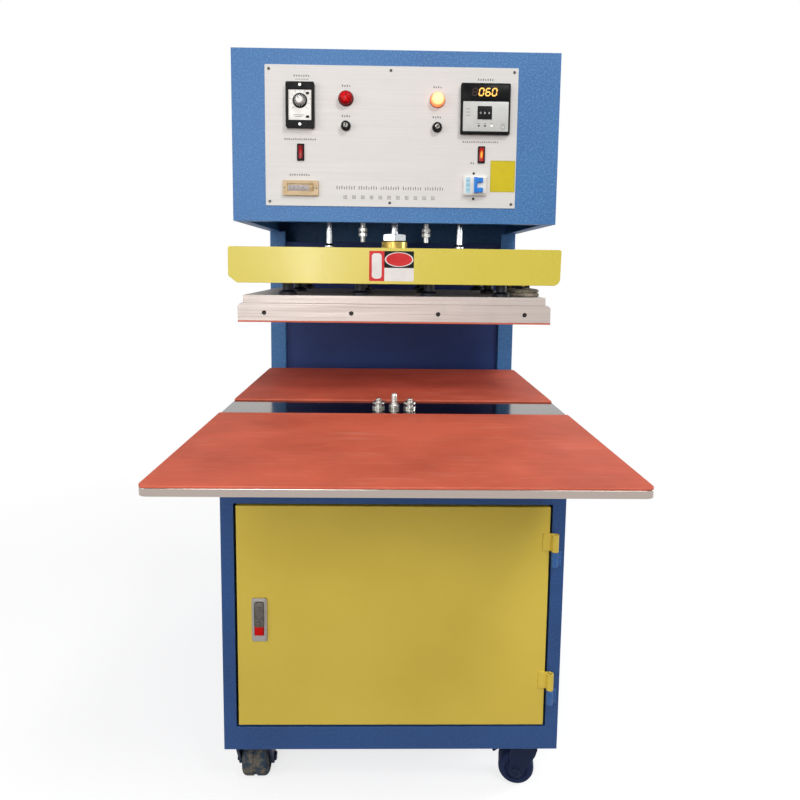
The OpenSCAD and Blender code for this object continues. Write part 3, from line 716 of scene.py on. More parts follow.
# Crosshead, anvil and pivot: ground machine steel, whose fine lines stretch the highlights.
GROUND_STEEL = LinedSheet("machine_steel_ground", "machine_steel", "#97989a", 0.34, metallic=1.0,
                          shade="#7b7c7e", pitch=1.0, soil="#6d655c")
# Fasteners and caster plates: zinc plating, a cool grey shine with duller spots.
ZINC = PlatedSteel("steel_zinc_plated", "zinc_steel", "#c4c3be", 0.26, metallic=1.0)
# Guide and piston rods: hard chrome, ground bright, so that they mirror in clear streaks.
CHROME = PlatedSteel("steel_hard_chromed", "bright_steel", "#d5d8da", 0.1, metallic=1.0,
                     shade="#aeb1b3")
# Rod coupling and clamp screws: yellow chromate on zinc, a warm brassy shine.
BRASS_ZINC = PlatedSteel("steel_yellow_chromated", "yellow_zinc", "#c3a75a", 0.3, metallic=1.0,
                         shade="#9c7f3c")
# Screws of the heating plate and breaker: stoved black, dull with grey rubbed edges.
BLACK_STEEL = PowderCoat("steel_black_stoved", "black_steel", "#1d1f24", 0.42, gloss=0.3,
                         shade="#33302e", worn="#55524e", grain=1.6, patch=30.0, speck=0.15)
# Caster forks: blue-black stoving enamel, dull with dust.
CASTER_BLACK = PowderCoat("steel_blue_black_stoved", "black_steel", "#0f1d3c", 0.5, gloss=0.15,
                          shade="#181c28", worn="#39425a", grain=1.6, patch=30.0, speck=0.1)
# Underside of the head: matt black as painted shade, so that the bay over the press reads as a dark
# hollow.
UNDERSIDE_SHADE_BLACK = PowderCoat("steel_black_painted_shade", "black_steel", "#0d0e10", 0.62, gloss=0.12,
                        shade="#16161a", worn="#2c2c30", grain=1.6, patch=60.0, speck=0.1)
# Latch plate: brushed stainless steel with finger marks, its colour painted darker as painted shade,
# standing for a dim room in its reflection, with streaked highlights.
BRUSHED_STEEL = LinedSheet("stainless_steel_brushed", "bright_steel", "#a29d98", 0.4, metallic=1.0,
                           shade="#75726e", pitch=0.9, length=60.0, soil="#67615a")
# Latch lever and control plate screws: dark die-cast zinc with a blurred shine.
CAST_ZINC = PlatedSteel("zinc_die_cast_dark", "bright_steel", "#5f5b55", 0.45, metallic=1.0,
                        shade="#46423d", grain=5.0)
# Fuse inserts and counter screws: nickel that has gone grey and dull.
DULL_NICKEL = PlatedSteel("brass_nickel_plated_dull", "zinc_steel", "#8b8983", 0.42, metallic=1.0,
                          shade="#5f5c57", grain=4.0)
# Boards and press facing: red silicone, a dull skin with pale dust and a pale painted highlight along the
# edges.
SILICONE = SiliconeSheet("silicone_rubber_sheet_red", "red_silicone", "#d8664d", 0.55, ior=1.41,
                         gloss=0.12)
# Heater leads: tan glass-fibre braid, dull and soiled.
GLASS_SLEEVE = BraidedSleeve("glass_fibre_sleeve_braided", "glass_sleeve", "#c9bda9", 0.8)
# Instrument cases, bezels and seals: black ABS, a fine matt grain that stays deep.
BLACK_PLASTIC = MouldedPlastic("abs_moulded_black", "black_plastic", "#0e0f11", 0.48, gloss=0.1,
                               shade="#181716", worn="#343538", ior=1.53)
# Spacer posts and lead terminals: pressed phenolic, a little shinier and bluer than ABS.
PHENOLIC = MouldedPlastic("phenolic_moulded_black", "black_plastic", "#0d0f18", 0.42, gloss=0.2,
                          shade="#1a1b22", worn="#343640", ior=1.6)
# Timer dial and breaker case: white ABS, lightly yellowed in its grain.
WHITE_PLASTIC = MouldedPlastic("abs_moulded_white", "white_plastic", "#eceae4", 0.36,
                               shade="#d8d2c6", worn="#f6f5f2", ior=1.53)
# Face of the controller: light grey film with a faint even grain.
GREY_PLASTIC = MouldedPlastic("polycarbonate_film_light_grey", "grey_plastic", "#c3c4c0", 0.42,
                              shade="#b2b2ad", worn="#d6d7d4", ior=1.58)
# Counter case: beige ABS, darker where grime lies in the grain.
BEIGE_PLASTIC = MouldedPlastic("abs_moulded_beige", "beige_plastic", "#c8ab7c", 0.4,
                               shade="#a88d60", worn="#dcc8a0", ior=1.53)
# Number drums: greyish white, so that the figures stand out dark.
DRUM_PLASTIC = MouldedPlastic("acetal_moulded_pale_grey", "grey_plastic", "#b7b1b2", 0.38,
                              shade="#a29c9d", worn="#cdc8c9", ior=1.48)
# Breaker toggle: blue nylon with paler edges.
BLUE_PLASTIC = MouldedPlastic("nylon_moulded_blue", "grey_plastic", "#1c80dc", 0.38, gloss=0.3,
                              shade="#1566b4", worn="#5aa4ec", ior=1.53)
# Field on the breaker: pale blue film, flat and even.
PALE_BLUE_FILM = MouldedPlastic("polyester_film_pale_blue", "grey_plastic", "#a9d3e2", 0.4,
                                shade="#93bfd0", worn="#c4e2ec", ior=1.58)
# Latch button: red ABS dulled by fingers, so that it shows colour and little shine.
RED_BUTTON = MouldedPlastic("abs_moulded_red", "red_plastic", "#d80f0c", 0.4, gloss=0.12,
                            shade="#b00d0a", worn="#e03a30", ior=1.53)
# Scales, figures and short marks: black ink, matt and slightly grey.
INK = MouldedPlastic("screen_ink_black", "black_plastic", "#2a2b2d", 0.6, shade="#3c3c3d",
                     worn="#4a4a4a")
# Rows of marks on the control plate: ink rubbed thin, so that it looks grey.
GREY_INK = MouldedPlastic("screen_ink_grey", "grey_plastic", "#6c6968", 0.6, gloss=0.2,
                          shade="#827f7d", worn="#8c8986")
# White marks on black, and the ground of the guard's label: flat and even.
PALE_INK = MouldedPlastic("screen_ink_white", "white_plastic", "#e6e6e2", 0.55, shade="#cfcfca",
                          worn="#f2f2f0")
# Field of the plain label: strong yellow film with a soft shine.
YELLOW_VINYL = MouldedPlastic("vinyl_film_yellow", "amber_plastic", "#d4bf0a", 0.4, gloss=0.3,
                              shade="#c3ad08", worn="#e8dc55", ior=1.53)
# Border of the plain label: a darker, duller yellow.
YELLOW_EDGE = MouldedPlastic("screen_ink_olive_yellow", "amber_plastic", "#b9ae12", 0.45,
                             shade="#a59b10", worn="#c9c04a")
# Red fields of the guard's label and marks of the rockers: film with a soft shine.
RED_VINYL = MouldedPlastic("vinyl_film_red", "red_plastic", "#cc1a1e", 0.4, gloss=0.3,
                           shade="#b01619", worn="#d9504a")
# Display window and timer lights: smoked acrylic, dark and smooth with a weak reflection.
WINDOW = MouldedPlastic("acrylic_window_smoked", "black_plastic", "#101113", 0.3, gloss=0.06,
                        shade="#191614", worn="#2c2d30", grain=3.0, relief=0.005, ior=1.49)
# Segments and small lamps that are not lit: a brown ghost of the lit ones.
DARK_SEGMENT = MouldedPlastic("led_segments_unlit", "black_plastic", "#4a3a37", 0.5, gloss=0.1,
                              shade="#3a2e2c", worn="#5a4a46")
# Pilot lamp that is off: deep red lens, its middle painted brighter as painted light through the dome,
# cut up by prisms.
RED_LENS = Lens("acrylic_lens_red", "red_plastic", "#6a0408", 0.3, ior=1.49, gloss=0.08,
                core="#fa0c1a", reach=0.5, full=0.3, depth=0.75)
# Pilot lamp that is on: pale yellow core that turns orange towards the rim.
AMBER_LENS = Lens("acrylic_lens_amber_lit", "amber_plastic", "#e0480c", 0.2, ior=1.49, gloss=0.2,
                  core="#fff0a0", glow=0.75, reach=0.52, full=0.3, depth=0.1)
# Rocker that is off: clear red over a dark hollow, its middle painted paler as painted light through the
# rocker.
ROCKER_RED = Lens("polycarbonate_rocker_red", "red_plastic", "#7c0a12", 0.3, ior=1.58, gloss=0.15,
                  core="#c01824", reach=0.5)
# Rocker that is on: the same red with an orange glow in its middle.
ROCKER_LIT = Lens("polycarbonate_rocker_red_lit", "red_plastic", "#8e120c", 0.3, ior=1.58, gloss=0.15,
                  core="#ffb23c", glow=0.8, reach=0.36)
# Lit segments: an even orange that carries its own light.
DIGIT_GLOW = Lens("led_segments_orange_lit", "amber_plastic", "#ff9c30", 0.3, core="#ffc25a",
                  glow=1.0, reach=2.0, depth=0.0)
# Lit lamp of the controller: a small point, nearly white.
SMALL_LED = Lens("led_dome_white_lit", "white_plastic", "#ffd9d2", 0.2, core="#fff7f2", glow=1.0,
                 reach=2.0, depth=0.0)
# Wheels: blue-black rubber; the front left one has rolled through the most dust.
RUBBER = WornRubber("rubber_tread_cast", "wheel_rubber", "#0f1e40", 0.5, ior=1.52, gloss=0.2,
                    dust="#3c4660", cover=0.3)
DUSTY_RUBBER = WornRubber("rubber_tread_cast_dusty", "wheel_rubber", "#2a3a4a", 0.72, ior=1.52,
                          gloss=0.3, dust="#96866a", cover=0.9)


class Recess(Enum):
    """Drive of a screw head."""

    CROSS = "cross"
    SLOT = "slot"
    SOCKET = "socket"


def ring(radius: float, steps: int, turn: float = 0.0) -> list[tuple[float, float]]:
    """Return points evenly round a circle.

    Args:
        radius: Radius of the circle.
        steps: Number of points.
        turn: Angle of the first point in radians.

    Returns:
        Points as x and y.
    """
    angles = [turn + math.tau * i / steps for i in range(steps)]
    return [(radius * math.cos(a), radius * math.sin(a)) for a in angles]


def round_box(width: float, height: float, radius: float, steps: int = 5) -> list[tuple[float, float]]:
    """Return the outline of a rectangle with round corners, centred.

    Args:
        width: Full width.
        height: Full height.
        radius: Corner radius.
        steps: Pieces in each corner.

    Returns:
        Points as x and y, counter-clockwise.
    """
    points = []
    for corner, (sx, sy) in enumerate(((1, 1), (-1, 1), (-1, -1), (1, -1))):
        for i in range(steps + 1):
            a = math.pi / 2 * (corner + i / steps)
            points.append((sx * (width / 2 - radius) + radius * math.cos(a),
                           sy * (height / 2 - radius) + radius * math.sin(a)))
    return points


def spot(x: float, y: float, z: float = 0.0, turn: float = 0.0) -> Matrix:
    """Return a place, turned about its own Z axis by degrees."""
    return Matrix.Translation((x, y, z)) @ Matrix.Rotation(math.radians(turn), 4, "Z")


@dataclass
class Shape:
    """Faces gathered in millimetres and made into one object.

    Attributes:
        place: Matrix from the shape's own axes to the machine's.
        mesh: The faces gathered so far.
    """

    place: Matrix = field(default_factory=Matrix)
    mesh: bmesh.types.BMesh = field(default_factory=bmesh.new)

    def join(self, part: bmesh.types.BMesh, at: Matrix | None) -> "Shape":
        """Take in the faces of one form.

        Args:
            part: The form, which is freed.
            at: Its place in the shape, or none for the origin.

        Returns:
            This shape.
        """
        bmesh.ops.recalc_face_normals(part, faces=part.faces[:])
        part.transform(self.place @ (at or Matrix()))
        held = bpy.data.meshes.new("form")
        part.to_mesh(held)
        part.free()
        self.mesh.from_mesh(held)
        bpy.data.meshes.remove(held)
        return self

    def block(self, low: Point, high: Point, ease: float = 0.4, at: Matrix | None = None) -> "Shape":
        """Add a block with eased edges.

        Args:
            low: Lowest corner.
            high: Highest corner.
            ease: Width of the eased edge.
            at: Place of the block.

        Returns:
            This shape.
        """
        part = bmesh.new()
        middle = (Vector(low) + Vector(high)) / 2
        size = Vector(high) - Vector(low)
        bmesh.ops.create_cube(part, size=1.0, matrix=Matrix.LocRotScale(middle, None, size))
        if ease:
            bmesh.ops.bevel(part, geom=part.edges[:], offset=ease, segments=3, profile=0.5,
                            affect="EDGES")
        return self.join(part, at)

    def lathe(self, profile: Sequence[Point], steps: int = 32, at: Matrix | None = None,
              flutes: int = 0, depth: float = 0.0) -> "Shape":
        """Add a turned form about its own Z axis.

        Args:
            profile: Radius and height of each ring, bottom first.
            steps: Points in a ring.
            at: Place of the form.
            flutes: Number of grooves round it.
            depth: Depth of a groove, for rings with a third value of 1.

        Returns:
            This shape.
        """
        part = bmesh.new()
        rings = []
        for radius, height, *cut in profile:
            if radius <= 0:
                rings.append([part.verts.new((0, 0, height))])
                continue
            verts = []
            for i in range(steps):
                a = math.tau * i / steps
                r = radius - (depth * (0.5 - 0.5 * math.cos(flutes * a)) if cut else 0.0)
                verts.append(part.verts.new((r * math.cos(a), r * math.sin(a), height)))
            rings.append(verts)
        for low, high in zip(rings, rings[1:]):
            for i in range(steps):
                k = (i + 1) % steps
                corners = [low[i % len(low)], low[k % len(low)], high[k % len(high)], high[i % len(high)]]
                part.faces.new(list(dict.fromkeys(corners)))
        for end in (rings[0], rings[-1]):
            if len(end) > 2:
                part.faces.new(end)
        return self.join(part, at)

    def prism(self, outline: Sequence[Point], low: float, high: float, ease: float = 0.0,
              at: Matrix | None = None) -> "Shape":
        """Add an outline drawn out along its own Z axis.

        Args:
            outline: Points as x and y.
            low: Bottom height.
            high: Top height.
            ease: Width of the eased edges.
            at: Place of the form.

        Returns:
            This shape.
        """
        part = bmesh.new()
        floor = part.faces.new([part.verts.new((x, y, low)) for x, y in outline])
        top = bmesh.ops.extrude_face_region(part, geom=[floor])["geom"]
        bmesh.ops.translate(part, vec=(0, 0, high - low),
                            verts=[v for v in top if isinstance(v, bmesh.types.BMVert)])
        if ease:
            bmesh.ops.recalc_face_normals(part, faces=part.faces[:])
            sharp = [e for e in part.edges if e.calc_face_angle(0) > math.radians(50)]
            bmesh.ops.bevel(part, geom=sharp, offset=ease, segments=2, profile=0.5, affect="EDGES")
        return self.join(part, at)

    def screw(self, radius: float, height: float, recess: Recess, at: Matrix) -> "Shape":
        """Add a pan-head screw with its drive cut in.

        Args:
            radius: Radius of the head.
            height: Height of the head.
            recess: Drive of the screw.
            at: Place of the head's seat.

        Returns:
            This shape.
        """
        if recess is Recess.CROSS:
            a, w = radius * 0.55, radius * 0.14
            cut = [(a, -w), (a, w), (w, w), (w, a), (-w, a), (-w, w),
                   (-a, w), (-a, -w), (-w, -w), (-w, -a), (w, -a), (w, -w)]
        elif recess is Recess.SLOT:
            a, w = radius * 0.62, radius * 0.13
            cut = [(a, -w), (a, w), (-a, w), (-a, -w)]
        else:
            cut = ring(radius * 0.5, 6)
        part = bmesh.new()
        steps = 24
        rings = []
        for share, level in ((1.0, 0.0), (1.0, 0.35), (0.93, 0.7), (0.72, 1.0)):
            rings.append([part.verts.new((x, y, height * level))
                          for x, y in ring(radius * share, steps)])
        for low, high in zip(rings, rings[1:]):
            for i in range(steps):
                k = (i + 1) % steps
                part.faces.new((low[i], low[k], high[k], high[i]))
        lip = [part.verts.new((x, y, height)) for x, y in cut]
        pit = [part.verts.new((x, y, height * 0.35)) for x, y in cut]
        loop = [part.edges.new((lip[i - 1], lip[i])) for i in range(len(lip))]
        top = [part.edges.get((rings[-1][i - 1], rings[-1][i])) for i in range(steps)]
        bmesh.ops.triangle_fill(part, use_beauty=True, edges=loop + top)
        for i in range(len(lip)):
            part.faces.new((lip[i - 1], lip[i], pit[i], pit[i - 1]))
        part.faces.new(pit)
        return self.join(part, at)

    def figure(self, text: str, size: float, at: Matrix) -> "Shape":
        """Add raised figures, centred.

        Args:
            text: The figures.
            size: Height of a line.
            at: Place of their middle.

        Returns:
            This shape.
        """
        curve = bpy.data.curves.new("figure", "FONT")
        curve.body = text
        curve.size = size
        curve.extrude = 0.04
        curve.resolution_u = 3
        curve.align_x, curve.align_y = "CENTER", "CENTER"
        holder = bpy.data.objects.new("figure", curve)
        held = bpy.data.meshes.new_from_object(holder)
        part = bmesh.new()
        part.from_mesh(held)
        bpy.data.objects.remove(holder)
        bpy.data.curves.remove(curve)
        bpy.data.meshes.remove(held)
        return self.join(part, at)

    def make(self, name: str, body: str, finish: Finish) -> bpy.types.Object:
        """Turn the faces into an object that rides on a body.

        Args:
            name: Name of the piece.
            body: Body that it moves with.
            finish: Its surface.

        Returns:
            The new object.
        """
        self.mesh.transform(Matrix.Scale(MM, 4))
        data = bpy.data.meshes.new(name)
        self.mesh.to_mesh(data)
        self.mesh.free()
        data.shade_smooth()
        data.set_sharp_from_angle(angle=SHARP)
        data.materials.append(finish.material())
        piece = bpy.data.objects.new(name, data)
        bpy.context.collection.objects.link(piece)
        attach(piece, body)
        LOG.info("piece %s on %s: %d faces", name, body, len(data.polygons))
        return piece


def size_of(node: str) -> tuple[Vector, Vector]:
    """Return the lowest and highest corner of a CAD node in millimetres."""
    low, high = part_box(node)
    return Vector(low) / MM, Vector(high) / MM


def middle_of(node: str) -> Vector:
    """Return the middle of a CAD node in millimetres."""
    low, high = size_of(node)
    return (low + high) / 2


def shading() -> bpy.types.NodeTree:
    """Make the node group that smooths round faces and keeps real edges sharp.

    Returns:
        The group, made at its first use.
    """
    known = bpy.data.node_groups.get("smooth_round_faces")
    if known:
        return known
    tree = bpy.data.node_groups.new("smooth_round_faces", "GeometryNodeTree")
    tree.interface.new_socket("Geometry", in_out="INPUT", socket_type="NodeSocketGeometry")
    tree.interface.new_socket("Geometry", in_out="OUTPUT", socket_type="NodeSocketGeometry")
    entry = add_node(tree, "NodeGroupInput")
    bare = add_node(tree, "GeometryNodeRemoveAttribute", {"Name": "custom_normal"},
                    {"Geometry": entry.outputs[0]})
    faces = add_node(tree, "GeometryNodeSetShadeSmooth", {"Shade Smooth": True},
                     {"Geometry": bare.outputs[0]}, domain="FACE")
    angle = add_node(tree, "GeometryNodeInputMeshEdgeAngle")
    sharp = add_node(tree, "FunctionNodeCompare", {1: math.radians(32)}, {0: angle.outputs[0]},
                     data_type="FLOAT", operation="GREATER_THAN")
    edges = add_node(tree, "GeometryNodeSetShadeSmooth", {"Shade Smooth": False},
                     {"Geometry": faces.outputs[0], "Selection": sharp.outputs[0]}, domain="EDGE")
    add_node(tree, "NodeGroupOutput", links={0: edges.outputs[0]})
    return tree


def dress(node: str, finish: Finish, ease: float) -> None:
    """Give a CAD node its finish and ease its edges with modifiers.

    Args:
        node: Name of the node.
        finish: Its surface.
        ease: Width of the eased edge in millimetres, 0 for none.
    """
    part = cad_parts[node]
    part.data.materials.clear()
    part.data.materials.append(finish.material())
    weld = part.modifiers.new("weld", "WELD")
    weld.merge_threshold = 0.00001
    flat = part.modifiers.new("flat", "DECIMATE")
    flat.decimate_type = "DISSOLVE"
    flat.angle_limit = math.radians(0.4)
    if ease:
        bevel = part.modifiers.new("ease", "BEVEL")
        bevel.width = ease * MM
        bevel.segments = 3
        bevel.limit_method = "ANGLE"
        bevel.angle_limit = SHARP
        bevel.use_clamp_overlap = False
    smooth = part.modifiers.new("smooth", "NODES")
    smooth.node_group = shading()
    part.modifiers.new("weigh", "WEIGHTED_NORMAL").keep_sharp = True
    LOG.info("node %s: %s", node, finish.name)


@dataclass(frozen=True)
class SoftBox:
    """Square soft box that lights the machine.

    Attributes:
        name: Name of the lamp.
        place: Where it hangs, in metres.
        aim: Point that it faces, in metres.
        size: Side of the box in metres.
        power: Power in watts.
    """

    name: str
    place: Point
    aim: Point
    size: float
    power: float

    def build(self) -> None:
        """Hang the box."""
        data = bpy.data.lights.new(self.name, "AREA")
        data.shape = "SQUARE"
        data.size = self.size
        data.energy = self.power
        lamp = bpy.data.objects.new(self.name, data)
        lamp.location = self.place
        ray = Vector(self.aim) - Vector(self.place)
        lamp.rotation_euler = ray.to_track_quat("-Z", "Y").to_euler()
        bpy.context.collection.objects.link(lamp)


@dataclass
class Studio:
    """Floor, light and camera.

    Attributes:
        eye: Camera place in metres, from the photograph.
        pitch: Degrees that the camera looks down.
        yaw: Degrees that the camera looks to the right.
        roll: Degrees that the camera leans.
        focal: Focal length in pixels.
        axis_row: Picture row that the optical axis meets.
        picture: Width and height of the picture in pixels.
        ambient: Strength of the even light from all round.
        lift: Strength that brings the floor near to white.
        fade: Distances in metres over which the floor turns into the background.
        reach: Half the width of the floor in metres.
        boxes: Lamps.
    """

    eye: tuple[float, float, float] = (-0.015, -1.39, 0.9275)
    pitch: float = 6.5993
    yaw: float = 1.1287
    roll: float = -0.662
    focal: float = 695.54
    axis_row: float = 345.6
    picture: int = 800
    ambient: float = 0.23
    lift: float = 0.74
    fade: tuple[float, float] = (0.9, 2.0)
    reach: float = 12.0
    boxes: tuple[SoftBox, ...] = (
        SoftBox("key_box", (1.0, -1.9, 2.75), (0.0, 0.0, 1.0), 0.6, 25.0),
        SoftBox("front_box", (-0.45, -2.4, 1.65), (0.0, 0.0, 0.85), 0.8, 20.0),
        SoftBox("glint_box", (-0.4, -2.4, 0.93), (0.0, 0.0, 0.9), 0.3, 6.0),
        SoftBox("left_box", (-1.9, -1.6, 1.3), (0.0, 0.0, 0.6), 1.2, 13.0),
        SoftBox("right_box", (2.1, 0.15, 1.1), (0.2, 0.1, 0.7), 0.7, 18.0),
        SoftBox("top_box", (0.0, -0.6, 3.0), (0.0, -0.4, 0.0), 1.6, 5.0),
        SoftBox("back_box", (0.4, 2.4, 2.6), (0.0, 0.2, 0.9), 1.8, 22.0))

    def camera(self) -> None:
        """Place the camera where the photograph was taken."""
        p, y, r = (math.radians(a) for a in (self.pitch, self.yaw, self.roll))
        ahead = Vector((math.sin(y) * math.cos(p), math.cos(y) * math.cos(p), -math.sin(p)))
        right = Vector((math.cos(y), -math.sin(y), 0.0))
        down = ahead.cross(right)
        across = right * math.cos(r) + down * math.sin(r)
        upward = right * math.sin(r) - down * math.cos(r)
        lens = bpy.data.cameras.new("studio_camera")
        lens.sensor_width = 36.0
        lens.lens = self.focal / self.picture * lens.sensor_width
        lens.shift_y = (self.axis_row - self.picture / 2) / self.picture
        lens.clip_start = 0.05
        eye = bpy.data.objects.new("studio_camera", lens)
        turn = Matrix((across, upward, -ahead)).transposed()
        eye.matrix_world = Matrix.Translation(self.eye) @ turn.to_4x4()
        bpy.context.collection.objects.link(eye)
        bpy.context.scene.camera = eye

    def seen(self, tree: Tree) -> Socket:
        """Tell rays that show the background itself from rays that only carry light.

        Args:
            tree: Node tree that asks.

        Returns:
            1 for the camera's rays and for those in metal and glass, 0 for the rest.
        """
        path = add_node(tree, "ShaderNodeLightPath")
        straight = add_node(tree, "ShaderNodeMath", links={
            0: path.outputs["Is Camera Ray"], 1: path.outputs["Is Glossy Ray"]}, operation="MAXIMUM")
        return add_node(tree, "ShaderNodeMath", links={
            0: straight.outputs[0], 1: path.outputs["Is Transmission Ray"]},
            operation="MAXIMUM").outputs[0]

    def world(self) -> None:
        """Make a white background, also in mirrors, and a soft even light."""
        world = bpy.data.worlds.new("studio_white")
        world.use_nodes = True
        tree = world.node_tree
        tree.nodes.clear()
        soft = add_node(tree, "ShaderNodeBackground",
                        {"Color": linear("#f4f6fa"), "Strength": self.ambient})
        white = add_node(tree, "ShaderNodeBackground", {"Color": (1, 1, 1, 1), "Strength": 1.0})
        both = add_node(tree, "ShaderNodeMixShader",
                        links={0: self.seen(tree), 1: soft.outputs[0], 2: white.outputs[0]})
        add_node(tree, "ShaderNodeOutputWorld", links={"Surface": both.outputs[0]})
        bpy.context.scene.world = world

    def floor(self) -> None:
        """Lay a pale floor that keeps the machine's shadow."""
        stuff = bpy.data.materials.new("studio_floor_pale")
        stuff.use_nodes = True
        tree = stuff.node_tree
        tree.nodes.clear()
        matt = add_node(tree, "ShaderNodeBsdfDiffuse", {"Color": linear("#a2a2a2")})
        part = add_node(tree, "ShaderNodeMath", {1: self.lift}, {0: self.seen(tree)},
                        operation="MULTIPLY")
        lift = add_node(tree, "ShaderNodeEmission", {"Color": linear("#ffffff")},
                        {"Strength": part.outputs[0]})
        near = add_node(tree, "ShaderNodeAddShader", links={0: matt.outputs[0], 1: lift.outputs[0]})
        white = add_node(tree, "ShaderNodeEmission", {"Color": linear("#ffffff")},
                         {"Strength": self.seen(tree)})
        coords = add_node(tree, "ShaderNodeTexCoord")
        away = add_node(tree, "ShaderNodeVectorMath", links={0: coords.outputs["Object"]},
                        operation="LENGTH")
        start, end = self.fade
        far = add_node(tree, "ShaderNodeMapRange", {1: start, 2: end, 3: 0.0, 4: 1.0},
                       {0: away.outputs["Value"]})
        both = add_node(tree, "ShaderNodeMixShader",
                        links={0: far.outputs[0], 1: near.outputs[0], 2: white.outputs[0]})
        add_node(tree, "ShaderNodeOutputMaterial", links={"Surface": both.outputs[0]})
        data = bpy.data.meshes.new("studio_floor")
        reach = self.reach
        data.from_pydata([(-reach, -reach, 0), (reach, -reach, 0), (reach, reach, 0),
                          (-reach, reach, 0)], [], [(0, 1, 2, 3)])
        data.materials.append(stuff)
        floor = bpy.data.objects.new("studio_floor", data)
        bpy.context.collection.objects.link(floor)

    def build(self) -> None:
        """Set up the studio."""
        self.camera()
        self.world()
        self.floor()
        for box in self.boxes:
            box.build()
        bpy.context.scene.view_settings.view_transform = "Standard"


@dataclass
class Cabinet:
    """Cabinet on the casters, with its door, hinges and latch.

    Attributes:
        lever: Width and height of the latch lever.
        lever_up: Middle of the lever above the middle of the latch.
        ribs: Number of grip ribs on the lever.
        rib_up: Highest rib above the middle of the latch.
        rib_step: Spacing of the ribs.
        pivot_down: Pivot of the lever below the middle of the latch.
    """

    lever: tuple[float, float] = (17.0, 44.0)
    lever_up: float = 11.0
    ribs: int = 5
    rib_up: float = 24.0
    rib_step: float = 2.4
    pivot_down: float = 5.0

    def dress(self) -> None:
        """Finish the sheet parts."""
        for node in ("base_plate", "cabinet_left_wall", "cabinet_right_wall", "cabinet_back_wall",
                     "cabinet_deck"):
            dress(node, CABINET_SHADED_BLUE, 0.5)
        dress("cabinet_front_frame", CABINET_SHADED_BLUE, 0.7)
        dress("hinge_pins", HINGE_BLUE, 0.5)
        dress("door", DOOR_YELLOW, 0.7)
        dress("door_latch", BRUSHED_STEEL, 0.6)
        dress("latch_button", RED_BUTTON, 0.8)
        dress("pivot_post", GROUND_STEEL, 0.6)
        dress("press_anvil", GROUND_STEEL, 0.8)

    def latch(self) -> None:
        """Add the latch lever over its plate, with the grip and pivot."""
        low, high = size_of("door_latch")
        x, z = (low.x + high.x) / 2, (low.z + high.z) / 2
        place = Matrix.Translation((x, low.y, z)) @ Matrix.Rotation(math.pi / 2, 4, "X")
        lever = Shape(place)
        lever.prism(round_box(*self.lever, 4), -0.4, 2.6, 1.0, spot(0, self.lever_up))
        for k in range(self.ribs):
            at = spot(0, self.rib_up - k * self.rib_step)
            lever.block((-6, -0.5, 2.2), (6, 0.5, 3.2), 0.3, at)
        lever.lathe([(3.4, 2.2), (3.4, 3.4), (2.4, 4.0), (0, 4.0)], 20, spot(0, -self.pivot_down))
        lever.make("latch_lever", "door", CAST_ZINC)

    def build(self) -> None:
        """Build the cabinet."""
        self.dress()
        self.latch()


@dataclass
class Column:
    """Column and head housing.

    Attributes:
        screw: Head radius and height of the cover screws.
        side: Screws in from the sides of a cover.
        foot: Lowest screws above the foot of the back cover.
        rows: Other screws above the foot of the back cover.
        end: Screws in from the upper edge of the back cover and the ends of the top cover.
    """

    screw: tuple[float, float] = (5.0, 3.2)
    side: float = 14.0
    foot: float = 20.0
    rows: tuple[float, float] = (430.0, 840.0)
    end: float = 16.0

    def dress(self) -> None:
        """Finish the sheet parts."""
        for node in ("left_side_panel", "right_side_panel", "back_panel", "head_front_panel",
                     "head_top_panel"):
            dress(node, HEAD_BLUE, 0.7)
        dress("column_front_panel", NAVY, 0.6)
        # The head's underside is coloured black as painted shade for the bay under it.
        dress("head_bottom_panel", UNDERSIDE_SHADE_BLACK, 0.8)
        dress("stop_bolts", ZINC, 0.3)

    def screws(self) -> None:
        """Add the screws that hold the back and top covers, each turned in its own way."""
        low, high = size_of("back_panel")
        back = Shape(Matrix.Translation((0, high.y, 0)) @ Matrix.Rotation(-math.pi / 2, 4, "X"))
        first, last = low.z + self.foot, high.z - self.end
        every = (first, *(low.z + row for row in self.rows), last)
        for x in (low.x + self.side, 0, high.x - self.side):
            for z in (every if x else (first, last)):
                back.screw(*self.screw, Recess.CROSS, spot(x, -z, 0, 17 * z))
        back.make("back_cover_screws", "frame", ZINC)
        low, high = size_of("head_top_panel")
        top = Shape(Matrix.Translation((0, 0, high.z)))
        for x in (low.x + self.side, high.x - self.side):
            for y in (low.y + self.end, (low.y + high.y) / 2, high.y - self.end):
                top.screw(*self.screw, Recess.CROSS, spot(x, y, 0, 31 * y))
        top.make("top_cover_screws", "frame", ZINC)

    def build(self) -> None:
        """Build the column and head."""
        self.dress()
        self.screws()


def facing(node: str) -> Matrix:
    """Find the middle of a node on the control plate.

    Args:
        node: Name of the node.

    Returns:
        A place on the face of the plate, with Z towards the user.
    """
    middle = middle_of(node)
    face = size_of("control_panel")[0].y
    return Matrix.Translation((middle.x, face, middle.z)) @ Matrix.Rotation(math.pi / 2, 4, "X")


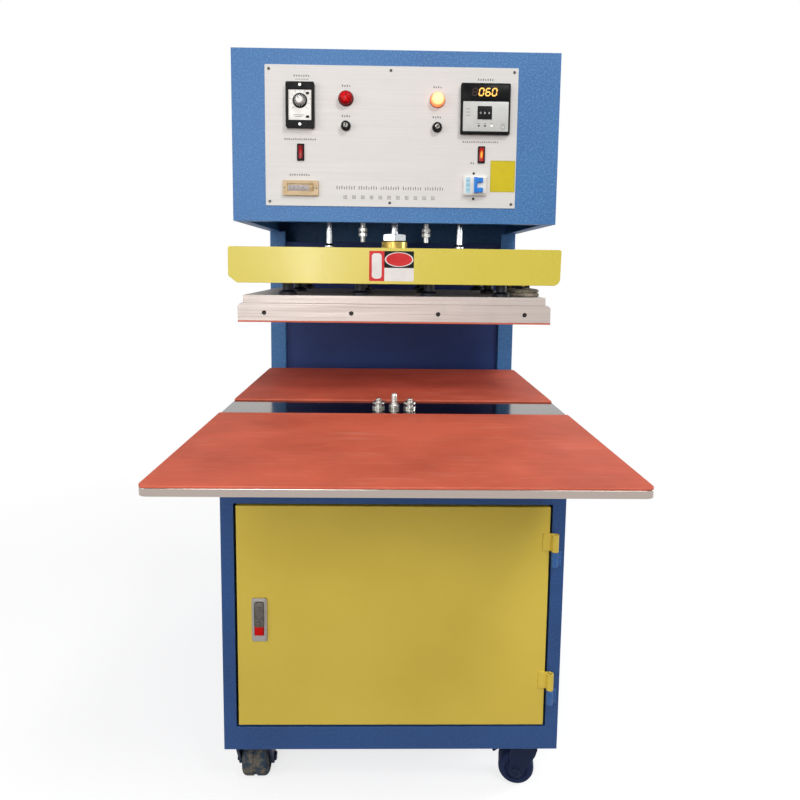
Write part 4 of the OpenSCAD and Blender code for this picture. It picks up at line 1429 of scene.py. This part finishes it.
@dataclass(frozen=True)
class MarkRow:
    """A printed row of plain ticks, or of marks made of dots.

    Attributes:
        x: Middle of the row to the right of the plate's middle.
        y: Middle of the row above the plate's middle.
        width: Length of the row.
        tall: Height of a mark.
        pitch: Spacing of the marks.
        dots: Dots across and up in a mark, or 1 for a plain tick.
        stroke: Share of the pitch that a tick fills.
        group: Ticks before a gap, or 0 for an even row.
        tops: Upper ends of the ticks above the middle, as shares of the height.
        dot: Half the width of a dot as a share of the dots' spacing.
        film: Bottom and top of the ink over the plate.
    """

    x: float
    y: float
    width: float
    tall: float = 3.6
    pitch: float = 4.6
    dots: int = 1
    stroke: float = 0.48
    group: int = 0
    tops: tuple[float, ...] = (0.5, 0.3, 0.5, 0.2, 0.4)
    dot: float = 0.32
    film: tuple[float, float] = (-0.1, 0.05)

    def tick(self, ink: Shape, i: int, at: Matrix) -> None:
        """Print one plain tick.

        Args:
            ink: Shape that takes the tick.
            i: Number of the tick in its row.
            at: Middle of the tick.
        """
        wide, top = self.pitch * self.stroke / 2, self.tall * self.tops[i % len(self.tops)]
        ink.block((-wide, -self.tall / 2, self.film[0]), (wide, top, self.film[1]), 0.0, at)

    def grid(self, ink: Shape, at: Matrix) -> None:
        """Print one mark made of dots.

        Args:
            ink: Shape that takes the mark.
            at: Middle of the mark.
        """
        step = self.tall / self.dots
        half = step * self.dot
        for k in range(self.dots ** 2):
            x, y = (step * (n - (self.dots - 1) / 2) for n in divmod(k, self.dots))
            ink.block((x - half, y - half, self.film[0]), (x + half, y + half, self.film[1]), 0.0, at)

    def print_on(self, ink: Shape) -> None:
        """Print the whole row.

        Args:
            ink: Shape that takes the row.
        """
        for i in range(round(self.width / self.pitch)):
            at = spot(self.x - self.width / 2 + self.pitch * (i + 0.5), self.y)
            if self.group and i % (self.group + 1) == self.group:
                continue
            if self.dots == 1:
                self.tick(ink, i, at)
            else:
                self.grid(ink, at)


@dataclass
class ControlPlate:
    """Control plate with its screws, printed marks and blank labels.

    Attributes:
        screw: Head radius and height of the screws.
        inset: Screws in from the edge of the plate.
        middle_x: Middle screws to the right of the plate's middle.
        label: Width and height of the plain yellow label.
        label_y: Label above the plate's middle.
        label_gap: Label in from the edge of the plate.
        border: Width of the label's border.
        rows: Rows of printed marks.
    """

    screw: tuple[float, float] = (2.7, 1.8)
    inset: float = 8.0
    middle_x: float = -2.0
    label: tuple[float, float] = (49.0, 61.0)
    label_y: float = -72.0
    label_gap: float = 1.5
    border: float = 2.0
    rows: tuple[MarkRow, ...] = (
        MarkRow(-175, 113.5, 32), MarkRow(-175, 107, 24, 2.0, 3.2), MarkRow(182, 111.5, 32),
        MarkRow(-88.5, 96, 19), MarkRow(88.5, 96, 18), MarkRow(-89, 39, 18), MarkRow(87.5, 39.5, 17),
        MarkRow(-178, -6, 63, 3.4, 4.2), MarkRow(175, -6.5, 72, 3.4, 4.2), MarkRow(-179, -74, 42),
        MarkRow(160.5, -47, 11), MarkRow(-2, -97.5, 213, 7.0, 4.84, stroke=0.3, group=8),
        MarkRow(-3.5, -116, 190, 7.6, 17.3, 3))

    def screws(self) -> None:
        """Add the six screws round the plate, each turned in its own way."""
        low, high = size_of("control_panel")
        shape = Shape(facing("control_panel"))
        w, h = (high.x - low.x) / 2 - self.inset, (high.z - low.z) / 2 - self.inset
        for x in (-w, self.middle_x, w):
            for y in (-h, h):
                shape.screw(*self.screw, Recess.CROSS, spot(x, y, 0, 40 + 7 * x + y))
        shape.make("control_plate_screws", "frame", CAST_ZINC)

    def print_marks(self) -> None:
        """Print the rows of marks."""
        ink = Shape(facing("control_panel"))
        for row in self.rows:
            row.print_on(ink)
        ink.make("printed_marks", "frame", GREY_INK)

    def labels(self) -> None:
        """Add a plain yellow label with a darker border."""
        low, high = size_of("control_panel")
        w, h = self.label
        at = spot((high.x - low.x) / 2 - w / 2 - self.label_gap, self.label_y)
        sheet = Shape(facing("control_panel"))
        sheet.prism(round_box(w, h, 1.0), 0.0, 0.15, 0.0, at)
        sheet.make("yellow_label", "frame", YELLOW_EDGE)
        inner = Shape(facing("control_panel"))
        w, h = w - 2 * self.border, h - 2 * self.border
        inner.prism(round_box(w, h, 0.8), 0.1, 0.22, 0.0, at)
        inner.make("yellow_label_field", "frame", YELLOW_VINYL)

    def build(self) -> None:
        """Build the plate."""
        dress("control_panel", PANEL_WHITE, 0.5)
        self.screws()
        self.print_marks()
        self.labels()


@dataclass
class Timer:
    """Dial timer: black frame, white scale and a knob in a toothed skirt.

    Attributes:
        knob_y: Knob above the middle of the frame.
        knob_r: Radius of the knob.
        knob_top: Height of the knob over the control plate.
        skirt: Outer radius of the knob's skirt.
        flutes: Number of grooves round the skirt.
        teeth: Number of white marks on the skirt.
        face: Height of the scale's face over the control plate.
        marks: Number of marks on the scale.
        first: Angle of the first mark in degrees.
        sweep: Degrees from one mark to the next.
        mark_r: Radius of the ring of marks.
        figure_r: Radius of the ring of figures.
        light: Width, height and corner radius of a small light.
        light_at: Lights to the right of the middle, and above and below it.
        screw_y: Screws above and below the middle.
    """

    knob_y: float = 8.0
    knob_r: float = 7.0
    knob_top: float = 22.0
    skirt: float = 14.2
    flutes: int = 24
    teeth: int = 20
    face: float = 9.0
    marks: int = 11
    first: float = 225.0
    sweep: float = 27.0
    mark_r: float = 17.6
    figure_r: float = 20.6
    light: tuple[float, float, float] = (6.6, 4.4, 2.1)
    light_at: tuple[float, float] = (14.5, 22.0)
    screw_y: float = 37.0

    def knob(self, place: Matrix) -> None:
        """Add the knob's skirt and the marks on it.

        Args:
            place: Middle of the timer.
        """
        at = spot(0, self.knob_y)
        r, top = self.skirt, self.face + 4.2
        skirt = Shape(place)
        skirt.lathe([(r, self.face), (r, self.face + 2, 1), (r - 0.8, self.face + 3.6, 1),
                     (r - 2.4, top), (self.knob_r + 0.4, top)], 120, at, self.flutes, 1.1)
        skirt.make("timer_knob_skirt", "frame", BLACK_PLASTIC)
        teeth = Shape(place)
        for i in range(self.teeth):
            teeth.block((8.4, -0.4, self.face + 4.1), (11.4, 0.4, self.face + 4.3), 0.0,
                        at @ spot(0, 0, 0, 360 / self.teeth * i))
        teeth.make("timer_skirt_marks", "frame", PALE_INK)

    def scale(self, place: Matrix) -> None:
        """Add the marks and figures of the scale and the knob's pointer.

        Args:
            place: Middle of the timer.
        """
        knob = spot(0, self.knob_y)
        marks = Shape(place)
        for i in range(self.marks):
            a = math.radians(self.first - self.sweep * i)
            x, y = math.cos(a), math.sin(a)
            at = knob @ spot(self.mark_r * x, self.mark_r * y, self.face, math.degrees(a))
            marks.block((-1.3, -0.25, -0.02), (1.3, 0.25, 0.08), 0.0, at)
            if i % 2 == 0:
                at = knob @ spot(self.figure_r * x, self.figure_r * y, self.face)
                marks.figure(str(i), 3.4, at)
        for k, width in enumerate((20, 14)):
            marks.block((-width / 2, -0.4, -0.02), (width / 2, 0.4, 0.08), 0.0,
                        spot(-3, -19 - 3 * k, self.face))
        marks.block((-0.5, 1.6, self.knob_top - 0.1), (0.5, self.knob_r - 0.8, self.knob_top + 0.1), 0.0,
                    knob @ spot(0, 0, 0, 35))
        marks.make("timer_scale", "frame", INK)

    def build(self) -> None:
        """Build the timer."""
        dress("timer_frame", BLACK_PLASTIC, 0.8)
        dress("timer_dial", WHITE_PLASTIC, 0.5)
        place = facing("timer_frame")
        self.knob(place)
        self.scale(place)
        lights = Shape(place)
        x, reach = self.light_at
        for y in (reach, -reach):
            lights.prism(round_box(*self.light), self.face - 0.2, self.face + 0.9, 0.35, spot(x, y))
        lights.make("timer_lights", "frame", WINDOW)
        screws = Shape(place)
        for y in (-self.screw_y, self.screw_y):
            screws.screw(3.2, 1.8, Recess.CROSS, spot(0, y, 12, 20))
        screws.make("timer_screws", "frame", ZINC)


@dataclass
class TemperatureController:
    """Square temperature controller with a lit display and thumbwheels.

    Attributes:
        face: Height of its front over the control plate.
        digit: Width and height of one lit digit.
        digit_at: Dark digit at the left, to the right of and above the middle.
        digit_step: Spacing of the digits.
        stroke: Width of a segment.
        lean: Slant of the digits.
        reading: Digits that are lit.
        setting: Digits on the thumbwheels.
        window: Width and height of the display window.
        window_y: Window above the middle.
        plate: Width and height of the grey face.
        plate_y: Grey face above the middle.
        wheel_box: Width and height of the thumbwheels' frame.
        wheel_at: Frame to the right of and above the middle.
        wheel_x: First thumbwheel to the right of the middle.
        wheel_step: Spacing of the thumbwheels.
        lamps: Small lamps to the right of the middle, the last one lit.
        lamp_y: Small lamps above the middle.
        key_at: Round key to the right of and above the middle.
    """

    face: float = 13.0
    digit: tuple[float, float] = (8.2, 13.2)
    digit_at: tuple[float, float] = (-21.6, 30.5)
    digit_step: float = 12.6
    stroke: float = 2.3
    lean: float = 0.14
    reading: str = "060"
    setting: str = "080"
    window: tuple[float, float] = (89.0, 29.4)
    window_y: float = 29.6
    plate: tuple[float, float] = (88.0, 56.0)
    plate_y: float = -15.4
    wheel_box: tuple[float, float] = (28.0, 25.0)
    wheel_at: tuple[float, float] = (-2.0, -8.5)
    wheel_x: float = -10.2
    wheel_step: float = 8.2
    lamps: tuple[float, float, float] = (-13.0, -1.0, 12.0)
    lamp_y: float = -33.0
    key_at: tuple[float, float] = (34.0, -35.0)

    def display(self, place: Matrix) -> None:
        """Add the smoked window and the lit segments.

        Args:
            place: Middle of the controller.
        """
        window = Shape(place)
        window.prism(round_box(*self.window, 0.8), 11.3, 12.7, 0.3, spot(0, self.window_y))
        window.make("display_window", "frame", WINDOW)
        lit = {"0": "abcdef", "6": "acdefg", "8": "abcdefg"}
        w, h = self.digit
        t = self.stroke
        bars = {"a": (0, h / 2, 0), "d": (0, -h / 2, 0), "g": (0, 0, 0), "b": (w / 2, h / 4, 90),
                "c": (w / 2, -h / 4, 90), "e": (-w / 2, -h / 4, 90), "f": (-w / 2, h / 4, 90)}
        lean = Matrix.Identity(4)
        lean[0][1] = self.lean
        glow, ghost = Shape(place), Shape(place)
        for k, figure in enumerate("8" + self.reading):
            at = spot(self.digit_at[0] + self.digit_step * k, self.digit_at[1]) @ lean
            for key in lit[figure]:
                x, y, turn = bars[key]
                run = (w if turn == 0 else h / 2) / 2 - 0.35
                bar = [(-run, 0), (-run + t / 2, -t / 2), (run - t / 2, -t / 2), (run, 0),
                       (run - t / 2, t / 2), (-run + t / 2, t / 2)]
                (glow if k else ghost).prism(bar, 12.65, 12.8, 0.0, at @ spot(x, y, 0, turn))
        glow.make("display_digits", "frame", DIGIT_GLOW)
        ghost.make("display_dark_digit", "frame", DARK_SEGMENT)

    def keys(self, place: Matrix) -> None:
        """Add the grey face, the thumbwheels and the small lamps.

        Args:
            place: Middle of the controller.
        """
        plate = Shape(place)
        plate.prism(round_box(*self.plate, 1.6), self.face - 0.1, self.face + 0.5, 0.15,
                    spot(0, self.plate_y))
        plate.make("controller_face", "frame", GREY_PLASTIC)
        box = Shape(place)
        box.prism(round_box(*self.wheel_box, 1.0), self.face, self.face + 1.6, 0.4,
                  spot(*self.wheel_at))
        y = self.wheel_at[1]
        for k in range(len(self.setting)):
            at = spot(self.wheel_x + self.wheel_step * k, y, self.face - 4.6)
            box.lathe([(6.4, -3.2), (7.2, -2.9, 1), (7.2, 2.9, 1), (6.4, 3.2)], 60,
                      at @ Matrix.Rotation(math.pi / 2, 4, "Y"), 10, 0.8)
        box.make("thumbwheels", "frame", BLACK_PLASTIC)
        marks = Shape(place)
        for k, figure in enumerate(self.setting):
            at = spot(self.wheel_x + self.wheel_step * k, y - 1, self.face + 2.66)
            marks.figure(figure, 6.0, at)
        marks.make("thumbwheel_figures", "frame", PALE_INK)
        dark = Shape(place)
        dome = [(1.7, self.face), (1.7, self.face + 1.1), (1.2, self.face + 1.8), (0, self.face + 2.1)]
        *unlit, bright = self.lamps
        for x in unlit:
            dark.lathe(dome, 18, spot(x, self.lamp_y))
        dark.make("controller_lamps", "frame", DARK_SEGMENT)
        lit = Shape(place)
        lit.lathe(dome, 18, spot(bright, self.lamp_y))
        lit.make("controller_lamp_lit", "frame", SMALL_LED)
        ink = Shape(place)
        for x in (*self.lamps, self.key_at[0]):
            ink.block((x - 3, -29.4, self.face + 0.45), (x + 3, -28.8, self.face + 0.55), 0.0)
        ink.lathe([(4.4, self.face + 0.4), (4.4, self.face + 0.56), (3.8, self.face + 0.56),
                   (3.8, self.face + 0.4)], 28, spot(*self.key_at))
        for y in (-2, -8, -14):
            ink.block((-38, y, self.face + 0.45), (-30, y + 0.7, self.face + 0.55), 0.0)
        ink.make("controller_marks", "frame", INK)

    def build(self) -> None:
        """Build the controller."""
        dress("temperature_controller", BLACK_PLASTIC, 0.6)
        place = facing("temperature_controller")
        self.display(place)
        self.keys(place)


class LampState(Enum):
    """State of a pilot lamp."""

    OFF = "off"
    ON = "on"


@dataclass
class PilotLamp:
    """Round pilot lamp with a fluted lens.

    Attributes:
        node: CAD node that the lamp stands for.
        state: Whether it is lit.
        radius: Radius of the lens.
        flutes: Number of grooves round the lens.
        groove: Depth of a groove.
    """

    node: str
    state: LampState
    radius: float = 14.0
    flutes: int = 36
    groove: float = 0.5

    def build(self) -> None:
        """Build the lamp."""
        place = facing(self.node)
        r = self.radius
        lens = Shape(place)
        lens.lathe([(r + 0.4, 1.2), (r + 0.4, 4.0), (r - 0.2, 4.6, 1), (r - 0.6, 10.0, 1),
                    (r * 0.88, 13.4, 1), (r * 0.68, 15.8), (r * 0.36, 17.1), (0, 17.5)],
                   144, None, self.flutes, self.groove)
        finish = AMBER_LENS if self.state is LampState.ON else RED_LENS
        piece = lens.make(f"{self.node}_lens", "frame", finish)
        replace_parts(piece, self.node)
        seal = Shape(place)
        seal.lathe([(r + 1.0, 0), (r + 1.0, 1.2), (r - 1, 1.4)], 40)
        seal.make(f"{self.node}_seal", "frame", BLACK_PLASTIC)


@dataclass
class FuseCaps:
    """Two screw-in fuse caps with slotted metal inserts.

    Attributes:
        insert: Radius of an insert.
        slot: Half the width of the slot in an insert.
        leans: Degrees that each slot is turned by.
        top: Height of a cap over the control plate.
        flutes: Number of grooves round a cap.
    """

    insert: float = 4.4
    slot: float = 0.95
    leans: tuple[float, float] = (75.0, 38.0)
    top: float = 13.5
    flutes: int = 30

    def build(self) -> None:
        """Build the caps."""
        dress("fuse_caps", BLACK_PLASTIC, 0.35)
        low, high = size_of("fuse_caps")
        r = (high.z - low.z) / 2
        half = [(self.insert * math.cos(a), self.slot + (self.insert - self.slot) * math.sin(a))
                for a in (math.pi * i / 14 for i in range(15))]
        inserts, grips = Shape(facing("fuse_caps")), Shape(facing("fuse_caps"))
        reach = (high.x - low.x) / 2 - r
        for x, lean in zip((-reach, reach), self.leans):
            for turn in (lean, lean + 180):
                inserts.prism(half, self.top - 0.2, self.top + 0.4, 0.12, spot(x, 0, 0, turn))
            grips.lathe([(8.5, 3.8), (8.9, 4.6, 1), (8.9, 10.6, 1), (8.2, 11.4), (7.6, 11.4)],
                        120, spot(x, 0), self.flutes, 0.7)
        inserts.make("fuse_inserts", "frame", DULL_NICKEL)
        grips.make("fuse_grips", "frame", BLACK_PLASTIC)


@dataclass
class Rockers:
    """Two rocker switches in black bezels, the right one lit.

    Attributes:
        width: Width of a rocker.
        height: Height of a rocker.
        bezel: Width and height of a bezel.
        case: Width of a switch in the CAD.
        middle: Height of a rocker's middle over the control plate.
        tilt: Rise of its pressed-out end over the middle.
        hollow: Rise of both ends over a flat rocker.
    """

    width: float = 8.2
    height: float = 25.0
    bezel: tuple[float, float] = (14.0, 32.5)
    case: float = 17.0
    middle: float = 4.6
    tilt: float = 1.6
    hollow: float = 1.9

    def one(self, name: str, x: float, finish: Finish) -> bpy.types.Object:
        """Build one rocker with its bezel and marks.

        Args:
            name: Name of the switch.
            x: Distance from the middle of both switches.
            finish: Surface of the rocker.

        Returns:
            The rocker itself.
        """
        place = facing("rocker_switches") @ spot(x, 0)
        w, h = self.width, self.height
        bezel = Shape(place)
        outer, inner = round_box(*self.bezel, 1.6), round_box(w + 0.8, h + 0.8, 0.8)
        part = bmesh.new()
        n = len(outer)
        levels = [(outer, 0.0), (outer, 2.6), ([(a * 0.95, b * 0.975) for a, b in outer], 3.2),
                  ([(a * 1.06, b * 1.02) for a, b in inner], 3.2), (inner, 2.8), (inner, 0.4)]
        loops = [[part.verts.new((a, b, z)) for a, b in loop] for loop, z in levels]
        for low, high in zip(loops, loops[1:]):
            for i in range(n):
                k = (i + 1) % n
                part.faces.new((low[i], low[k], high[k], high[i]))
        bezel.join(part, None)
        bezel.make(f"{name}_bezel", "frame", BLACK_PLASTIC)
        curve = [(-h / 2, 1.0), (h / 2, 1.0)]
        for i in range(13):
            t = 1 - 2 * i / 12
            curve.append((t * h / 2, self.middle + self.tilt * t + self.hollow * t * t))
        rocker = Shape(place)
        rocker.prism(curve, -w / 2, w / 2, 0.5, Matrix.Rotation(math.pi / 2, 4, "Y")
                     @ Matrix.Rotation(math.pi / 2, 4, "Z"))
        made = rocker.make(f"{name}_rocker", "frame", finish)
        marks = Shape(place)
        marks.block((-0.4, 8.2, 5.6), (0.4, 11.4, 7.3), 0.1)
        marks.lathe([(1.9, 3.5), (1.9, 5.15), (1.3, 5.15), (1.3, 3.5)], 24, spot(0, -9.6))
        marks.make(f"{name}_marks", "frame", RED_VINYL)
        return made

    def build(self) -> None:
        """Build both switches."""
        low, high = size_of("rocker_switches")
        reach = (high.x - low.x - self.case) / 2
        for name, x, finish in (("timer_switch", -reach, ROCKER_RED),
                                ("heater_switch", reach, ROCKER_LIT)):
            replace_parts(self.one(name, x, finish), "rocker_switches")


@dataclass
class Counter:
    """Mechanical counter with number drums and a reset wheel.

    Attributes:
        reading: Figures on the drums.
        first: First drum to the right of the middle.
        pitch: Spacing of the drums.
        reset_x: Reset wheel to the right of the middle.
        screw_x: Screws to both sides of the middle.
    """

    reading: str = "00041"
    first: float = -20.4
    pitch: float = 8.2
    reset_x: float = 21.6
    screw_x: float = 31.0

    def build(self) -> None:
        """Build the counter."""
        dress("counter", BEIGE_PLASTIC, 0.6)
        place = facing("counter")
        wheels, figures = Shape(place), Shape(place)
        for k, figure in enumerate(self.reading):
            x = self.first + self.pitch * k
            wheels.lathe([(9.4, -3.8), (10.0, -3.5), (10.0, 3.5), (9.4, 3.8)], 48,
                         spot(x, 0, -3.6) @ Matrix.Rotation(math.pi / 2, 4, "Y"))
            figures.figure(figure, 8.0, spot(x, 0, 6.42))
        wheels.make("counter_drums", "frame", DRUM_PLASTIC)
        figures.make("counter_figures", "frame", INK)
        reset = Shape(place)
        reset.lathe([(4.6, -2.6), (5.4, -2.2, 1), (5.4, 2.2, 1), (4.6, 2.6)], 80,
                    spot(self.reset_x, 0, 4.6) @ Matrix.Rotation(math.pi / 2, 4, "Y"), 20, 0.6)
        reset.block((-30, 12.0, 6.8), (30, 12.6, 7.3), 0.15)
        reset.block((-30, -12.6, 6.8), (30, -12.0, 7.3), 0.15)
        reset.make("counter_reset", "frame", BEIGE_PLASTIC)
        screws = Shape(place)
        for x in (-self.screw_x, self.screw_x):
            screws.screw(1.9, 1.0, Recess.SLOT, spot(x, 0, 7, 25))
        screws.make("counter_screws", "frame", DULL_NICKEL)


@dataclass
class Breaker:
    """Two-pole breaker behind its white cover, with a joined blue toggle.

    Attributes:
        width: Width of the cover.
        height: Height of the cover.
        film: Width of the film at the left.
        toggle: Half the length of the joined toggle.
        pole_y: Middle of each pole's toggle above and below the middle.
    """

    width: float = 45.0
    height: float = 38.0
    film: float = 9.5
    toggle: float = 15.0
    pole_y: float = 9.5

    def build(self) -> None:
        """Build the breaker."""
        place = facing("breaker")
        w, h = self.width, self.height
        case = Shape(place)
        case.prism(round_box(w, h, 1.2), 0, 9.0, 0.7)
        case.block((-5, -h / 2 + 3, 8.6), (w / 2 - 1.5, h / 2 - 3, 13.5), 0.8)
        case.block((-w / 2 + 1.5, -h / 2 + 2, 8.6), (-8.4, h / 2 - 2, 10.6), 0.6)
        piece = case.make("breaker_case", "frame", WHITE_PLASTIC)
        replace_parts(piece, "breaker")
        film = Shape(place)
        film.prism(round_box(self.film, h - 8, 0.6), 10.5, 10.75, 0.0, spot(-w / 2 + 8.4, 0))
        film.make("breaker_film", "frame", PALE_BLUE_FILM)
        grip = Shape(place)
        grip.block((-3, -self.toggle, 13.2), (3.4, self.toggle, 19.5), 0.9)
        for y in (-self.pole_y, self.pole_y):
            grip.block((2.8, y - 4.6, 13.2), (14.6, y + 4.6, 18.4), 0.9)
        grip.make("breaker_toggle", "frame", BLUE_PLASTIC)
        screws = Shape(place)
        for y in (-h / 2 - 6, h / 2 + 5):
            screws.screw(2.4, 1.6, Recess.CROSS, spot(-2, y, 0, 10 * y))
        screws.make("breaker_screws", "frame", BLACK_STEEL)
        ink = Shape(place)
        for y in (-9, 0, 9):
            ink.block((-w / 2 + 6, y - 0.4, 10.7), (-w / 2 + 11, y + 0.4, 10.82), 0.0)
        ink.make("breaker_marks", "frame", INK)


@dataclass
class Press:
    """Guided press: crosshead, guard, posts, heated plates and rods.

    Attributes:
        label: Width and height of the plain label on the guard.
        label_x: Label to the left of the middle.
        hole_step: Spacing of the four holes in the heating plate.
        hole_z: Height of the holes.
        sunk: Depth of the screws' seats in the holes.
        sunk_screw: Head radius and height of the sunk screws.
        terminal_top: Height of the terminal block without its fins.
        clamp: Head radius and height of the clamp screws.
        clamp_in: Clamp screws in from the ends of the block.
    """

    label: tuple[float, float] = (82.0, 55.0)
    label_x: float = -7.0
    hole_step: float = 161.0
    hole_z: float = 837.4
    sunk: float = 6.0
    sunk_screw: tuple[float, float] = (3.7, 3.0)
    terminal_top: float = 16.0
    clamp: tuple[float, float] = (3.0, 2.4)
    clamp_in: float = 4.0

    def dress(self) -> None:
        """Finish the CAD parts."""
        for node, finish, ease in (
                ("crosshead", GROUND_STEEL, 0.8), ("guide_rods", CHROME, 0.3),
                ("piston_rod", CHROME, 0.3), ("rod_flange", BRASS_ZINC, 0.5),
                ("guard", GUARD_YELLOW, 0.5), ("spacer_posts", PHENOLIC, 0.4),
                ("cover_plate", MILLED_ALUMINIUM, 0.7), ("heater_plate", MILLED_ALUMINIUM, 0.6),
                ("press_pad", SILICONE, 0.5), ("heater_leads", GLASS_SLEEVE, 0.0),
                ("lead_terminals", PHENOLIC, 0.4)):
            dress(node, finish, ease)

    def sunk_screws(self) -> None:
        """Add the socket screws sunk in the front of the heating plate."""
        low, _ = size_of("heater_plate")
        place = Matrix.Translation((0, low.y, self.hole_z)) @ Matrix.Rotation(math.pi / 2, 4, "X")
        screws = Shape(place)
        for k in range(4):
            at = spot(self.hole_step * (k - 1.5), 0, -self.sunk, 20 * k)
            screws.screw(*self.sunk_screw, Recess.SOCKET, at)
        screws.make("heater_plate_screws", "press", BLACK_STEEL)

    def terminal_screws(self) -> None:
        """Add the four clamp screws in the bays of the lead terminals."""
        low, high = size_of("lead_terminals")
        x, reach = (low.x + high.x) / 2, (high.x - low.x) / 4
        clamps = Shape(Matrix.Translation((x, 0, low.z + self.terminal_top)))
        for side in (-1, 1):
            for k, y in enumerate((low.y + self.clamp_in, high.y - self.clamp_in)):
                at = spot(side * reach, y, 0, 50 * side + 35 * k)
                clamps.screw(*self.clamp, Recess.SLOT, at)
        clamps.make("terminal_screws", "press", BRASS_ZINC)

    def guard_label(self) -> None:
        """Add a label of plain colour fields."""
        low, high = size_of("guard")
        place = (Matrix.Translation((self.label_x, low.y, (low.z + high.z) / 2))
                 @ Matrix.Rotation(math.pi / 2, 4, "X"))
        w, h = self.label
        oval = [(w * 0.29 * x, h * 0.22 * y) for x, y in ring(1.0, 48)]
        pale = Shape(place)
        pale.prism(round_box(w, h, 0.8), -0.05, 0.1)
        pale.prism(round_box(w * 0.22, h * 0.84, 6.0), 0.1, 0.26, 0.0, spot(-w * 0.33, 0))
        pale.prism([(x * 1.1, y * 1.1) for x, y in oval], 0.1, 0.26, 0.0, spot(w * 0.17, h * 0.22))
        pale.make("guard_label", "press", PALE_INK)
        red = Shape(place)
        red.prism(round_box(w * 0.34, h, 0.8), 0.05, 0.2, 0.0, spot(-w * 0.33, 0))
        red.prism(oval, 0.2, 0.32, 0.0, spot(w * 0.17, h * 0.22))
        red.make("guard_label_red", "press", RED_VINYL)
        dark = Shape(place)
        dark.prism(round_box(w * 0.66, h * 0.56, 0.8), 0.05, 0.2, 0.0, spot(w * 0.17, h * 0.22))
        dark.make("guard_label_black", "press", BLACK_PLASTIC)

    def build(self) -> None:
        """Build the press."""
        self.dress()
        self.sunk_screws()
        self.terminal_screws()
        self.guard_label()


@dataclass
class Turntable:
    """Turning table with two silicone boards.

    Attributes:
        edge: Eased edge of the boards.
    """

    edge: float = 0.8

    def build(self) -> None:
        """Build the table."""
        dress("table_plate", MIRROR_ALUMINIUM, 0.7)
        dress("front_pad", SILICONE, self.edge)
        dress("rear_pad", SILICONE, self.edge)
        dress("hub_studs", ZINC, 0.4)


@dataclass
class Caster:
    """Swivel caster with its fork, wheel and axle nuts.

    Attributes:
        corner: Which corner of the machine it carries.
        tread: Surface of the wheel.
    """

    corner: str
    tread: Finish = RUBBER

    def build(self) -> None:
        """Build the caster."""
        dress(f"caster_fork_{self.corner}", CASTER_BLACK, 0.5)
        dress(f"caster_wheel_{self.corner}", self.tread, 0.5)


def main() -> None:
    """Build the studio and the machine."""
    logging.basicConfig(level=logging.INFO, format="%(name)s: %(message)s")
    Studio().build()
    Cabinet().build()
    Column().build()
    ControlPlate().build()
    Timer().build()
    TemperatureController().build()
    PilotLamp("red_lamp", LampState.OFF).build()
    PilotLamp("amber_lamp", LampState.ON).build()
    FuseCaps().build()
    Rockers().build()
    Counter().build()
    Breaker().build()
    Press().build()
    Turntable().build()
    dress("caster_plates", ZINC, 0.5)
    Caster("fl", DUSTY_RUBBER).build()
    for corner in ("fr", "rl", "rr"):
        Caster(corner).build()


if __name__ == "__main__":
    main()
